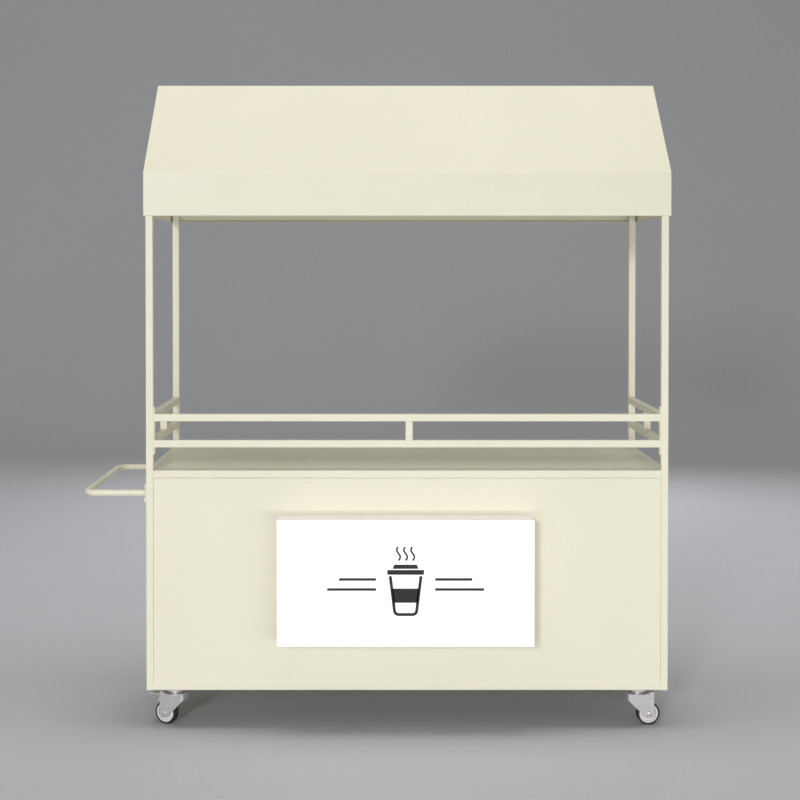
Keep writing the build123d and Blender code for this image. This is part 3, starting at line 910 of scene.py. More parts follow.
class WeldBeads:
    """Rippled weld beads along lines."""

    def __init__(self) -> None:
        """Build the tree."""
        recipe = NodeRecipe("weld_beads")
        pitch = recipe.size("Ripple Pitch")
        radius = recipe.size("Bead Radius")
        seed = recipe.size("Seed", "NodeSocketInt")
        finish = recipe.size("Finish", "NodeSocketMaterial")
        curve = recipe.node("GeometryNodeMeshToCurve", Mesh=recipe.entry.outputs[0])
        dots = recipe.node("GeometryNodeCurveToPoints", Curve=curve.outputs[0])
        dots.mode = "LENGTH"
        recipe.tree.links.new(pitch, next(s for s in dots.inputs if s.name == "Length"))
        drop = recipe.node("GeometryNodeMeshUVSphere", Segments=8, Rings=6, Radius=radius)
        flat = recipe.node("GeometryNodeTransform", Geometry=drop.outputs[0], Scale=(1.0, 1.0, 0.62))
        vary = recipe.node("FunctionNodeRandomValue", Seed=seed)
        low = next(s for s in vary.inputs if s.name == "Min" and s.type == "VALUE")
        high = next(s for s in vary.inputs if s.name == "Max" and s.type == "VALUE")
        low.default_value, high.default_value = 0.86, 1.08
        scale = next(s for s in vary.outputs if s.type == "VALUE")
        copies = recipe.node(
            "GeometryNodeInstanceOnPoints",
            Points=dots.outputs["Points"],
            Instance=flat.outputs[0],
            Rotation=dots.outputs["Rotation"],
            Scale=scale,
        )
        recipe.close(copies.outputs[0], finish)
        self.recipe = recipe

    def run(
        self,
        name: str,
        lines: Sequence[Sequence[Vector]],
        finish: bpy.types.Material,
        radius: float = 0.0019,
        pitch: float = 0.0015,
    ) -> bpy.types.Object:
        """Lay beads along polylines.

        Args:
            name: the new object's name.
            lines: the polylines.
            finish: the beads' material.
            radius: the beads' radius.
            pitch: distance between ripples.

        Returns:
            The new object.
        """
        mesh = bpy.data.meshes.new(name)
        verts: list[Vector] = []
        edges: list[tuple[int, int]] = []
        for line in lines:
            start = len(verts)
            verts.extend(line)
            edges.extend((start + i, start + i + 1) for i in range(len(line) - 1))
        mesh.from_pydata(verts, edges, [])
        values = {"Ripple Pitch": pitch, "Bead Radius": radius, "Seed": 7, "Finish": finish}
        return self.recipe.run(name, mesh, values)


@dataclass
class Workshop:
    """What every sub-assembly shares: the finishes, the repeated details and the report."""

    palette: Palette = field(default_factory=Palette)
    repeater: Repeater = field(default_factory=Repeater)
    welder: WeldBeads = field(default_factory=WeldBeads)

    def keep(
        self, obj: bpy.types.Object, slot: Slot, body: str = ROOT, replaced: Sequence[str] = ()
    ) -> None:
        """Dress a piece, let it ride on its body and report it.

        Args:
            obj: the piece.
            slot: its finish.
            body: the body it moves with.
            replaced: CAD nodes that it stands for.
        """
        weigh_normals(obj)
        self.palette.dress(obj, slot)
        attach(obj, body)
        if replaced:
            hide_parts(*replaced)
        log.info("%s: %d faces on %s", obj.name, len(obj.data.polygons), body)

    def repeat(
        self,
        name: str,
        master: bpy.types.Object,
        places: Places,
        slot: Slot,
        body: str = ROOT,
        replaced: Sequence[str] = (),
        spin: float = 0.7,
    ) -> None:
        """Copy a master onto places and keep the copies as one piece.

        Args:
            name: the piece's name.
            master: the shape to copy.
            places: a point and a direction for each copy.
            slot: the copies' finish.
            body: the body they move with.
            replaced: CAD nodes that they stand for.
            spin: extra turn of each copy after the one before it, in radians.
        """
        made = self.repeater.run(name, master, places, self.palette.by_slot[slot], spin)
        self.keep(made, slot, body, replaced)

    def weld(self, name: str, lines: Sequence[Sequence[Vector]]) -> None:
        """Lay weld beads under the frame's coat.

        Args:
            name: the piece's name.
            lines: the beads' middles.
        """
        self.keep(self.welder.run(name, lines, self.palette.by_slot[Slot.COAT]), Slot.COAT)

    def polish(
        self, node: str, slot: Slot, body: str, rounding: float = 0.0005, segments: int = 2, name: str = ""
    ) -> bpy.types.Object:
        """Replace a CAD node with a copy that has rounded edges.

        Args:
            node: the CAD node.
            slot: the finish.
            body: the body it moves with.
            rounding: edge radius.
            segments: steps of the rounding.
            name: the new piece's name, by default the node's with _finished.

        Returns:
            The new object.
        """
        shape = Shape()
        shape.bm.from_mesh(frame["nodes"][node].data)
        shape.worn = shape.bm.faces.layers.float.get(WEAR) or shape.bm.faces.layers.float.new(WEAR)
        bmesh.ops.remove_doubles(shape.bm, verts=shape.bm.verts[:], dist=1e-6)
        bmesh.ops.dissolve_limit(
            shape.bm, angle_limit=math.radians(1.0), verts=shape.bm.verts[:], edges=shape.bm.edges[:]
        )
        made = shape.finish(name or node + "_finished")
        made.data.materials.clear()
        edge = made.modifiers.new("edges", "BEVEL")
        edge.width = rounding
        edge.segments = segments
        edge.limit_method = "ANGLE"
        edge.angle_limit = math.radians(38.0)
        edge.use_clamp_overlap = True
        edge.harden_normals = False
        baked = bake_modifiers(made)
        self.keep(baked, slot, body, (node,))
        return baked


def bake_modifiers(obj: bpy.types.Object) -> bpy.types.Object:
    """Turn an object's modifiers into plain mesh.

    Args:
        obj: the object, which is removed.

    Returns:
        The plain object under the same name.
    """
    graph = bpy.context.evaluated_depsgraph_get()
    mesh = bpy.data.meshes.new_from_object(obj.evaluated_get(graph))
    name = obj.name
    bpy.data.objects.remove(obj)
    mesh.name = name
    return link(name, mesh)


def weigh_normals(obj: bpy.types.Object) -> None:
    """Let the flat faces, not the small roundings beside them, set the shading.

    Args:
        obj: the object, whose mesh is exchanged.
    """
    obj.modifiers.new("faces", "WEIGHTED_NORMAL").keep_sharp = True
    graph = bpy.context.evaluated_depsgraph_get()
    mesh = bpy.data.meshes.new_from_object(obj.evaluated_get(graph))
    obj.modifiers.clear()
    old, obj.data = obj.data, mesh
    bpy.data.meshes.remove(old)
    mesh.name = obj.name


# ---------------------------------------------------------------- the cart's own frame


@dataclass
class Layout:
    """Main sizes read from the CAD nodes, with points measured from the cart's centre."""

    tube: float = 0.025
    wall: float = 0.0012
    corner: float = 0.0028
    sheet: float = 0.001

    def __post_init__(self) -> None:
        """Read the boxes of the nodes that set the sizes."""
        low, high = node_box("corner_posts")
        self.centre = Vector(((low.x + high.x) / 2, (low.y + high.y) / 2, 0.0))
        self.half_l = (high.x - low.x) / 2
        self.half_d = (high.y - low.y) / 2
        self.in_l = self.half_l - self.tube
        self.in_d = self.half_d - self.tube
        self.bottom, self.post_top = low.z, high.z

    def at(self, x: float, y: float, z: float) -> Vector:
        """Frame coordinates of a point measured from the cart's centre.

        Args:
            x: along the cart.
            y: towards the doors.
            z: height.

        Returns:
            The point.
        """
        return self.centre + Vector((x, y, z))

    def local(self, node: str) -> tuple[Vector, Vector]:
        """A CAD node's box, measured from the cart's centre.

        Args:
            node: the node.

        Returns:
            Its lowest and highest corners.
        """
        low, high = node_box(node)
        return low - self.centre, high - self.centre

    def end(self, s: int) -> list[float]:
        """The X range of the tubes at one end.

        Args:
            s: -1 for the handle end or 1 for the other.

        Returns:
            Its lower and upper value.
        """
        return sorted((s * self.in_l, s * self.half_l))

    def face(self, s: int) -> list[float]:
        """The Y range of the tubes along one face.

        Args:
            s: -1 for the sign side or 1 for the door side.

        Returns:
            Its lower and upper value.
        """
        return sorted((s * self.in_d, s * self.half_d))


@dataclass(frozen=True)
class Span:
    """A square tube's box and direction, measured from the cart's centre."""

    low: Point
    high: Point
    axis: Axis


class SquareTubes:
    """Square tubes with rounded corners and open ends."""

    def __init__(self, layout: Layout) -> None:
        """Start with no tubes.

        Args:
            layout: the cart's sizes.
        """
        self.layout = layout
        self.shape = Shape()

    def add(self, span: Span) -> None:
        """Add one tube.

        Args:
            span: its box and direction.
        """
        run = span.axis.value
        a, b = [i for i in range(3) if i != run]
        rings, worn = [], []
        corner, wall = self.layout.corner, self.layout.wall
        for radius, inset in ((corner, 0.0), (corner - wall, wall)):
            lo = (span.low[a] + inset + radius, span.low[b] + inset + radius)
            hi = (span.high[a] - inset - radius, span.high[b] - inset - radius)
            outline: list[Flat] = []
            corners = ((hi[0], hi[1]), (lo[0], hi[1]), (lo[0], lo[1]), (hi[0], lo[1]))
            for k, centre in enumerate(corners):
                outline += arc(centre, radius, 90.0 * k, 90.0 * (k + 1), 4)
            worn = [0.0 if k % 5 == 4 else 1.0 for k in range(len(outline))]
            for end in (span.low[run], span.high[run]):
                points = []
                for u, v in outline:
                    p = [0.0, 0.0, 0.0]
                    p[run], p[a], p[b] = end, u, v
                    points.append(self.layout.centre + Vector(p))
                rings.append(self.shape.loop(points))
        outer_low, outer_high, inner_low, inner_high = rings
        self.shape.skin([outer_low, outer_high], worn)
        self.shape.skin([inner_high, inner_low])
        self.shape.skin([outer_high, inner_high])
        self.shape.skin([inner_low, outer_low])

    def ring(self, low: float, high: float) -> None:
        """Add four tubes between the posts at one height.

        Args:
            low: underside height.
            high: top height.
        """
        m = self.layout
        for s in (-1, 1):
            x, y = m.end(s), m.face(s)
            self.add(Span((-m.in_l, y[0], low), (m.in_l, y[1], high), Axis.X))
            self.add(Span((x[0], -m.in_d, low), (x[1], m.in_d, high), Axis.Y))


@dataclass
class TubeFrame:
    """Posts, floor and counter rails, guard rails and roof ring, with their welds."""

    shop: Workshop
    layout: Layout
    cross_x: float = 0.300
    strut_x: float = 0.007
    plate: float = 0.005
    beads: list[list[Vector]] = field(default_factory=list)

    def build(self) -> None:
        """Make every tube group."""
        m = self.layout
        posts = SquareTubes(m)
        for sx, sy in CORNERS:
            x, y = m.end(sx), m.face(sy)
            posts.add(Span((x[0], y[0], m.bottom), (x[1], y[1], m.post_top), Axis.Z))
        self.shop.keep(posts.shape.finish("posts"), Slot.COAT, replaced=("corner_posts",))
        self.rails("floor_frame", "floor_rails", (-self.cross_x, self.cross_x))
        self.rails("counter_frame", "counter_rails", (0.0,), top=False)
        self.rails("eave_frame", "eave_tubes", top=False)
        self.guard()
        self.shop.weld("frame_welds", self.beads)

    def rails(self, name: str, node: str, crosses: Sequence[float] = (), top: bool = True) -> None:
        """Make four rails between the posts, with cross tubes.

        Args:
            name: the piece's name.
            node: the CAD node that it stands for.
            crosses: where the cross tubes' middles are along X.
            top: whether the upper weld beads show.
        """
        m = self.layout
        low, high = (corner.z for corner in node_box(node))
        tubes = SquareTubes(m)
        tubes.ring(low, high)
        half = m.tube / 2
        for x in crosses:
            tubes.add(Span((x - half, -m.in_d, low), (x + half, m.in_d, high), Axis.Y))
        self.shop.keep(tubes.shape.finish(name), Slot.COAT, replaced=(node,))
        self.ring_beads(low, high, top)

    def guard(self) -> None:
        """Make the guard rails and their struts."""
        m = self.layout
        low_z, high_z = (corner.z for corner in node_box("guard_rails"))
        lower_top = low_z + m.tube
        rails = SquareTubes(m)
        front_l = m.in_l - self.plate
        for top in (lower_top, high_z):
            low = top - m.tube
            rails.add(Span((-front_l, -m.half_d, low), (front_l, -m.in_d, top), Axis.X))
            for s in (-1, 1):
                x = m.end(s)
                rails.add(Span((x[0], -m.in_d, low), (x[1], m.in_d, top), Axis.Y))
                for z in (low, top):
                    self.line((s * front_l, -m.in_d, z), (s * front_l, -m.half_d, z))
                    for y in (-m.in_d, m.in_d):
                        self.line((x[0], y, z), (x[1], y, z))
        half = m.tube / 2
        z = (lower_top, high_z - m.tube)
        x = (self.strut_x - half, self.strut_x + half)
        rails.add(Span((x[0], -m.half_d, z[0]), (x[1], -m.in_d, z[1]), Axis.Z))
        for edge in x:
            for height in z:
                self.line((edge, -m.half_d, height), (edge, -m.in_d, height))
        for s in (-1, 1):
            x = m.end(s)
            rails.add(Span((x[0], -half, z[0]), (x[1], half, z[1]), Axis.Z))
            for edge in (-half, half):
                for height in z:
                    self.line((x[0], edge, height), (x[1], edge, height))
        self.shop.keep(rails.shape.finish("guard"), Slot.COAT, replaced=("guard_rails",))

    def line(self, start: Point, end: Point, inset: float = 0.0022) -> None:
        """Note a weld bead, stopped short of the flush faces.

        Args:
            start: one end, from the cart's centre.
            end: the other end.
            inset: how far it stops short at each end.
        """
        a, b = self.layout.at(*start), self.layout.at(*end)
        step = (b - a).normalized() * inset
        self.beads.append([a + step, b - step])

    def ring_beads(self, low: float, high: float, top: bool) -> None:
        """Note the beads above and below each rail end on the posts.

        Args:
            low: the rails' underside.
            high: the rails' top.
            top: whether the upper beads show.
        """
        m = self.layout
        for z in (low, high) if top else (low,):
            for sx, sy in CORNERS:
                self.line((sx * m.in_l, sy * m.in_d, z), (sx * m.in_l, sy * m.half_d, z))
                self.line((sx * m.in_l, sy * m.in_d, z), (sx * m.half_l, sy * m.in_d, z))


@dataclass
class GableRoof:
    """Folded roof sheet, gable ends and the rafters under them."""

    shop: Workshop
    layout: Layout
    bend: float = 0.004
    hem: float = 0.020
    knee: float = 0.150
    columns: int = 24

    def build(self) -> None:
        """Make the cover and the gables and dress the rafters."""
        m = self.layout
        low, high = m.local("roof_cover")
        half_l, half_d = high.x, high.y
        eave, ridge = low.z, high.z
        knee = eave + self.knee
        line = [
            (-half_d + m.sheet + self.hem, eave),
            (-half_d, eave),
            (-half_d, knee),
            (0.0, ridge),
            (half_d, knee),
            (half_d, eave),
            (half_d - m.sheet - self.hem, eave),
        ]
        outer = rounded_corners(line, self.bend, 5)
        inner = offset_line(outer, -m.sheet)
        straight = {0, len(outer) - 2}
        shape = Shape()
        closed = [*outer, *reversed(inner)]
        columns = [-half_l + 2 * half_l * k / self.columns for k in range(self.columns + 1)]
        rings = [shape.loop(m.at(x, y, z) for y, z in closed) for x in columns]
        turns = self.turning(closed)
        shape.skin(rings, [0.0 if i in straight else t for i, t in enumerate(turns)])
        count = len(outer)
        for ring in (rings[0], rings[-1]):
            for i in range(count - 1):
                shape.face((ring[i], ring[i + 1], ring[-2 - i], ring[-1 - i]), 1.0)
        self.shop.keep(shape.finish("roof_sheet"), Slot.COAT, replaced=("roof_cover",))
        for side in ("left", "right"):
            self.gable(side)
        for node in ("rafters", "ridge_tube"):
            self.shop.polish(node, Slot.COAT, ROOT, 0.0018, 3)

    @staticmethod
    def turning(points: Sequence[Flat], limit: float = 0.004) -> list[float]:
        """Mark the short steps of a closed outline, which are its bends.

        Args:
            points: the outline.
            limit: the longest step that counts as a bend.

        Returns:
            1 for each step in a bend and 0 for the others.
        """
        steps = zip(points, [*points[1:], points[0]])
        return [1.0 if (Vector(b) - Vector(a)).length < limit else 0.0 for a, b in steps]

    def gable(self, side: str) -> None:
        """Make one gable end with rounded edges.

        Args:
            side: "left" or "right".
        """
        m = self.layout
        low, high = m.local(f"gable_{side}")
        outline = [
            (low.y, low.z),
            (low.y, low.z + self.knee),
            (0.0, high.z),
            (high.y, low.z + self.knee),
            (high.y, low.z),
        ]
        shape = Shape()
        faces = [shape.loop(m.at(x, y, z) for y, z in outline) for x in (low.x, high.x)]
        shape.skin(faces)
        for face in faces:
            shape.face(face)
        bmesh.ops.recalc_face_normals(shape.bm, faces=shape.bm.faces[:])
        shape.bevel(shape.sharp_edges(math.radians(20.0)), m.sheet * 0.4, 2)
        self.shop.keep(shape.finish(f"gable_end_{side}"), Slot.COAT, replaced=(f"gable_{side}",))


@dataclass
class FoldedPan:
    """A sheet with its four edges folded back, as panels, doors and trays are made."""

    low: Vector
    high: Vector
    opening: Vector
    sheet: float = 0.001
    fold: float = 0.0016

    def make(self, name: str) -> bpy.types.Object:
        """Build the pan.

        Args:
            name: the object's name.

        Returns:
            The new object, without a finish.
        """
        shape = Shape()
        made = bmesh.ops.create_cube(shape.bm, size=1.0)
        size = self.high - self.low
        turn = Matrix.Translation((self.low + self.high) / 2) @ Matrix.Diagonal((*size, 1.0))
        bmesh.ops.transform(shape.bm, matrix=turn, verts=made["verts"])
        bmesh.ops.recalc_face_normals(shape.bm, faces=shape.bm.faces[:])
        open_faces = [f for f in shape.bm.faces if f.normal.dot(self.opening) > 0.9]
        bmesh.ops.delete(shape.bm, geom=open_faces, context="FACES_ONLY")
        shape.bevel([e for e in shape.bm.edges if len(e.link_faces) == 2], self.fold, 4)
        obj = shape.finish(name)
        wall = obj.modifiers.new("wall", "SOLIDIFY")
        wall.thickness = self.sheet
        wall.offset = self.inward(obj)
        wall.use_even_offset = True
        return bake_modifiers(obj)

    def inward(self, obj: bpy.types.Object) -> float:
        """Which way the wall's thickness has to go to stay inside the box.

        Args:
            obj: the open skin.

        Returns:
            The Solidify offset, -1 or 1.
        """
        middle = (self.low + self.high) / 2
        out = sum((f.center - middle).dot(f.normal) * f.area for f in obj.data.polygons)
        return -1.0 if out > 0 else 1.0


@dataclass
class Cabinet:
    """Panels, counter, deck and shelf."""

    shop: Workshop
    layout: Layout

    def build(self) -> None:
        """Make the folded panels and the counter and dress the rest."""
        m = self.layout
        openings = {"front": (0, 1, 0), "left": (1, 0, 0), "right": (-1, 0, 0)}
        for side, way in openings.items():
            low, high = node_box(f"panel_{side}")
            pan = FoldedPan(low, high, Vector(way), m.sheet).make(f"{side}_panel")
            self.shop.keep(pan, Slot.COAT, replaced=(f"panel_{side}",))
        self.seam()
        self.shop.polish("counter_top", Slot.COAT, ROOT, 0.0005, 2, "counter_sheet")
        self.shop.polish("guard_gussets", Slot.COAT, ROOT, 0.0006, 2, "guard_corner_gussets")
        for node in ("floor_deck", "storage_shelf", "shelf_angles", "caster_corner_plates"):
            self.shop.polish(node, Slot.COAT, ROOT, 0.0003, 1)

    def seam(self, ramp: float = 0.009, dip: float = 0.0001, steps: int = 24) -> None:
        """Fill the seam between the front panel and the floor rail, rubbed down before coating.

        Args:
            ramp: how far the filler runs up the panel.
            dip: how far its lower edge stays behind the rail's face.
            steps: lengths that it is made of.
        """
        m = self.layout
        low = m.local("panel_front")[0]
        rail = -m.half_d + dip
        face, inner = low.y, low.y + 0.0020
        foot = low.z - 0.0035
        outline = [
            (rail, foot),
            (rail + 0.0002, low.z + 0.0012),
            (face - 0.0002, low.z + ramp),
            (face, low.z + ramp),
            (inner, low.z + 0.0016),
            (inner, foot),
        ]
        shape = Shape()
        edge = m.in_l - 0.0006
        columns = [-edge + 2 * edge * k / steps for k in range(steps + 1)]
        rings = [shape.loop(m.at(x, y, z) for y, z in outline) for x in columns]
        shape.skin(rings)
        shape.face(rings[0])
        shape.face(rings[-1])
        self.shop.keep(shape.finish("front_seam_filler", 60.0), Slot.COAT)


@dataclass
class SignPrint:
    """Cut film on the sign's face: a plain paper cup between short rules."""

    centre: Vector
    shape: Shape = field(default_factory=Shape)
    film: float = 0.0003
    stroke: float = 0.010
    foot: float = 0.036
    mouth: float = 0.052
    base: float = -0.105
    height: float = 0.130
    rule: float = 0.0085
    rule_start: float = 0.100
    rule_ends: tuple[Flat, ...] = ((-0.020, 0.265), (0.014, 0.225))
    steam: float = 0.006
    steam_spread: tuple[float, ...] = (-0.024, 0.0, 0.024)

    def build(self, shop: Workshop) -> None:
        """Make the film.

        Args:
            shop: the shared finishes.
        """
        low, top = self.base, self.base + self.height
        outline = [(-self.mouth, top), (-self.foot, low), (self.foot, low), (self.mouth, top)]
        self.ribbon(rounded_corners(outline, 0.014, 5))
        lid = top + 0.013
        self.plate(0.062, 0.062, lid - 0.008, lid + 0.008)
        self.plate(0.044, 0.038, lid + 0.012, lid + 0.026)
        self.plate(0.041, 0.0455, low + 0.040, low + 0.088)
        for x in self.steam_spread:
            wave = [(x + self.steam * math.sin(k * 0.55), lid + 0.040 + 0.0042 * k) for k in range(12)]
            self.ribbon(wave, self.steam)
        for s in (-1, 1):
            for row, reach in self.rule_ends:
                x = sorted((s * self.rule_start, s * reach))
                self.ribbon([(x[0], row), (x[1], row)], self.rule)
        shop.keep(self.shape.finish("sign_print", 20.0), Slot.BLACK)

    def plate(self, foot: float, mouth: float, low: float, high: float) -> None:
        """Add one flat area, even about the cup's middle.

        Args:
            foot: half its lower width.
            mouth: half its upper width.
            low: its lower edge, up from the middle of the face.
            high: its upper edge.
        """
        outline = ((-foot, low), (foot, low), (mouth, high), (-mouth, high))
        rings = []
        for depth in (0.0, -self.film):
            rings.append(self.shape.loop(self.centre + Vector((x, depth, z)) for x, z in outline))
        self.shape.skin(rings)
        for ring in rings:
            self.shape.face(ring)

    def ribbon(self, line: Sequence[Flat], width: float = 0.0) -> None:
        """Add a line of even width.

        Args:
            line: its middle.
            width: its width, or 0 for the usual stroke.
        """
        half = (width or self.stroke) / 2
        left, right = offset_line(line, half), offset_line(line, -half)
        rings = []
        for (x0, z0), (x1, z1) in zip(left, right):
            corners = [(x0, 0.0, z0), (x1, 0.0, z1), (x1, -self.film, z1), (x0, -self.film, z0)]
            rings.append(self.shape.loop(self.centre + Vector(c) for c in corners))
        self.shape.skin(rings)
        self.shape.face(rings[0])
        self.shape.face(rings[-1])


@dataclass
class SignBox:
    """Lightbox on the front panel."""

    shop: Workshop
    layout: Layout
    led_pitch: float = 0.0415
    led_inset: float = 0.010
    led_bar: float = 0.016
    ribs: int = 12

    def build(self) -> None:
        """Make the housing, the face and what is inside."""
        low, high = node_box("sign_housing")
        pan = FoldedPan(low, high, Vector((0, -1, 0)), self.layout.sheet, 0.002).make("sign_tray")
        self.shop.keep(pan, Slot.SIGN_SHELL, replaced=("sign_housing",))
        low, high = node_box("sign_face")
        face = Shape()
        face.block(tuple(low), tuple(high), 0.0009, 3)
        self.shop.keep(face.finish("sign_front"), Slot.ACRYLIC, replaced=("sign_face",))
        SignPrint(Vector(((low.x + high.x) / 2, low.y, (low.z + high.z) / 2))).build(self.shop)
        self.lamps()
        self.driver()

    def lamps(self) -> None:
        """Dress the LED bars and set emitters on them."""
        self.shop.polish("sign_led_bars", Slot.LED, ROOT, 0.0006, 2, "led_bars")
        low, high = node_box("sign_led_bars")
        emitter = Shape()
        emitter.block((-0.003, -0.0025, 0.0), (0.003, 0.0025, 0.0014), 0.0006, 2)
        half = self.led_bar / 2
        rows = [low.z + half, (low.z + high.z) / 2, high.z - half]
        count = int((high.x - low.x - 2 * self.led_inset) / self.led_pitch)
        places = []
        for z in rows:
            for k in range(count + 1):
                x = low.x + self.led_inset + k * self.led_pitch
                places.append((Vector((x, low.y, z)), Vector((0, -1, 0))))
        self.shop.repeat("led_emitters", emitter.finish("emitter_master"), places, Slot.LED, spin=0.0)

    def driver(self) -> None:
        """Make the driver's ribbed case."""
        low, high = node_box("sign_driver")
        case = Shape()
        case.block(tuple(low), tuple(high), 0.0015, 3)
        self.shop.keep(case.finish("driver_case_body"), Slot.DRIVER, replaced=("sign_driver",))
        rib = Shape()
        rib.block((-0.0008, -0.02, 0.0), (0.0008, 0.02, 0.0008), 0.0003, 1)
        places = []
        for k in range(1, self.ribs + 1):
            x = low.x + (high.x - low.x) * k / (self.ribs + 1)
            places.append((Vector((x, low.y, (low.z + high.z) / 2)), Vector((0, -1, 0))))
        self.shop.repeat("driver_ribs", rib.finish("rib_master"), places, Slot.DRIVER, spin=0.0)


def screw_head(radius: float = 0.0034, height: float = 0.0016, steps: int = 20) -> bpy.types.Object:
    """A domed screw head with a round recess, standing on the local XY plane.

    Args:
        radius: the head's radius.
        height: its height.
        steps: facets round it.

    Returns:
        The master object.
    """
    shape = Shape()
    profile = [(0.0002, 0.0), (radius, 0.0)]
    profile += [(radius * math.cos(a), height * math.sin(a)) for a in (0.35, 0.7, 1.0, 1.25, 1.42)]
    profile += [(radius * 0.32, height * 0.93), (radius * 0.26, height * 0.45), (0.0002, height * 0.35)]
    shape.lathe(profile, Matrix.Identity(4), steps, [1.0] * len(profile))
    bmesh.ops.remove_doubles(shape.bm, verts=shape.bm.verts[:], dist=0.00006)
    return shape.finish("screw_master")


def hex_head(across: float, height: float, washer: float) -> bpy.types.Object:
    """A hexagon head with chamfered corners on a washer, standing on the local XY plane.

    Args:
        across: distance across the flats.
        height: head height over the washer.
        washer: the washer's radius, or 0 for none.

    Returns:
        The master object.
    """
    shape = Shape()
    reach = across / 2 / math.cos(math.pi / 6)
    levels = ((0.0, reach), (height * 0.86, reach), (height, reach * 0.88))
    rings = [shape.loop(hex_ring(r, z)) for z, r in levels]
    shape.skin(rings)
    shape.face(rings[-1])
    shape.face(list(reversed(rings[0])))
    if washer:
        bore, thick = across * 0.3, 0.0012
        rim = [(bore, 0.0), (washer, 0.0), (washer, 0.0009), (washer - 0.0003, thick), (bore, thick)]
        shape.lathe(rim, Matrix.Identity(4), 24)
    bmesh.ops.recalc_face_normals(shape.bm, faces=shape.bm.faces[:])
    return shape.finish("hex_master", 20.0)


def hex_ring(radius: float, height: float) -> list[Point]:
    """Six points of a hexagon.

    Args:
        radius: corner radius.
        height: their Z.

    Returns:
        The points.
    """
    angles = [math.tau * k / 6 for k in range(6)]
    return [(radius * math.cos(a), radius * math.sin(a), height) for a in angles]


@dataclass
class PushHandle:
    """Bent tube handle with flanges and bolts on the two left posts."""

    shop: Workshop
    layout: Layout
    radius: float = 0.011
    bend: float = 0.045
    bolt_rise: float = 0.022

    def build(self) -> None:
        """Make the tube, the flanges, their welds and the bolts."""
        m = self.layout
        low, high = m.local("push_handle")
        z = (low.z + high.z) / 2
        out = low.x + self.radius
        arm = m.half_d - m.tube / 2
        root = high.x
        corners = [(root, -arm), (out, -arm), (out, arm), (root, arm)]
        flat = rounded_corners(corners, self.bend, 12)
        path = [m.at(x, y, z) for x, y in flat]
        tube = Shape()
        tube.sweep(path, self.radius, 32)
        self.shop.keep(tube.finish("handle_tube", 40.0), Slot.COAT, replaced=("push_handle",))
        self.shop.polish("handle_flanges", Slot.COAT, ROOT, 0.0009, 3, "handle_flange_plates")
        rings = []
        for y in (-arm, arm):
            spokes = [math.tau * k / 32 for k in range(33)]
            rings.append(
                [m.at(root, y + self.radius * math.cos(a), z + self.radius * math.sin(a)) for a in spokes]
            )
        self.shop.weld("handle_welds", rings)
        places = []
        for y in (-arm, arm):
            for s in (-1, 1):
                places.append((m.at(root, y, z + s * self.bolt_rise), Vector((-1, 0, 0))))
        head = hex_head(BOLT_FLATS, BOLT_HEAD, WASHER)
        self.shop.repeat("handle_bolt_heads", head, places, Slot.ZINC, replaced=("handle_bolts",))


@dataclass
class Door:
    """One rear door with its hinges and pull."""

    shop: Workshop
    layout: Layout
    side: str
    pull_radius: float = 0.004
    pull_bend: float = 0.009
    hinge_height: float = 0.060
    leaf_thickness: float = 0.0015
    pin_inset: float = 0.001
    screw_out: float = 0.0125
    screw_pitch: float = 0.021

    def build(self) -> None:
        """Make the pan, the pull and the hinge leaves with their screws."""
        body = f"{self.side}_door"
        low, high = node_box(f"door_{self.side}")
        pan = FoldedPan(low, high, Vector((0, -1, 0)), self.layout.sheet, 0.0018)
        self.shop.keep(pan.make(f"{self.side}_door_pan"), Slot.COAT, body, (f"door_{self.side}",))
        leaves = f"door_{self.side}_hinge_leaves"
        self.shop.polish(leaves, Slot.ZINC, body, 0.0004, 2, f"{self.side}_door_leaves")
        self.pull(body)
        self.screws(body, high.y)

    def pull(self, body: str) -> None:
        """Make the bow pull with its feet.

        Args:
            body: the door's body.
        """
        low, high = node_box(f"door_{self.side}_pull")
        x = (low.x + high.x) / 2
        out = high.y - self.pull_radius
        base = low.y
        top, bottom = high.z - self.pull_radius, low.z + self.pull_radius
        corners = [(base, bottom), (out, bottom), (out, top), (base, top)]
        flat = rounded_corners(corners, self.pull_bend, 8)
        shape = Shape()
        shape.sweep([Vector((x, y, z)) for y, z in flat], self.pull_radius, 24)
        for z in (bottom, top):
            turn = Matrix.Translation((x, base, z)) @ Matrix.Rotation(-math.pi / 2, 4, "X")
            rim = [(0.001, 0.0), (0.0068, 0.0), (0.0068, 0.0012), (0.0062, 0.0018), (0.001, 0.0018)]
            shape.lathe(rim, turn, 28)
        made = shape.finish(f"{self.side}_pull", 40.0)
        self.shop.keep(made, Slot.BRIGHT, body, (f"door_{self.side}_pull",))

    def screws(self, body: str, face: float) -> None:
        """Set the screws on both leaves of both hinges.

        Args:
            body: the door's body.
            face: the door's outer face.
        """
        low, high = node_box(f"door_{self.side}_hinge_leaves")
        s = -1 if self.side == "left" else 1
        pin_x = self.layout.at(s * (self.layout.in_l - self.pin_inset), 0, 0).x
        centres = (low.z + self.hinge_height / 2, high.z - self.hinge_height / 2)
        for leaf, way, rides in (("door", -s, body), ("post", s, ROOT)):
            places = []
            for centre in centres:
                for dz in (-self.screw_pitch, 0.0, self.screw_pitch):
                    spot = Vector((pin_x + way * self.screw_out, face + self.leaf_thickness, centre + dz))
                    places.append((spot, Vector((0, 1, 0))))
            self.shop.repeat(f"{self.side}_{leaf}_screws", screw_head(), places, Slot.ZINC, rides)


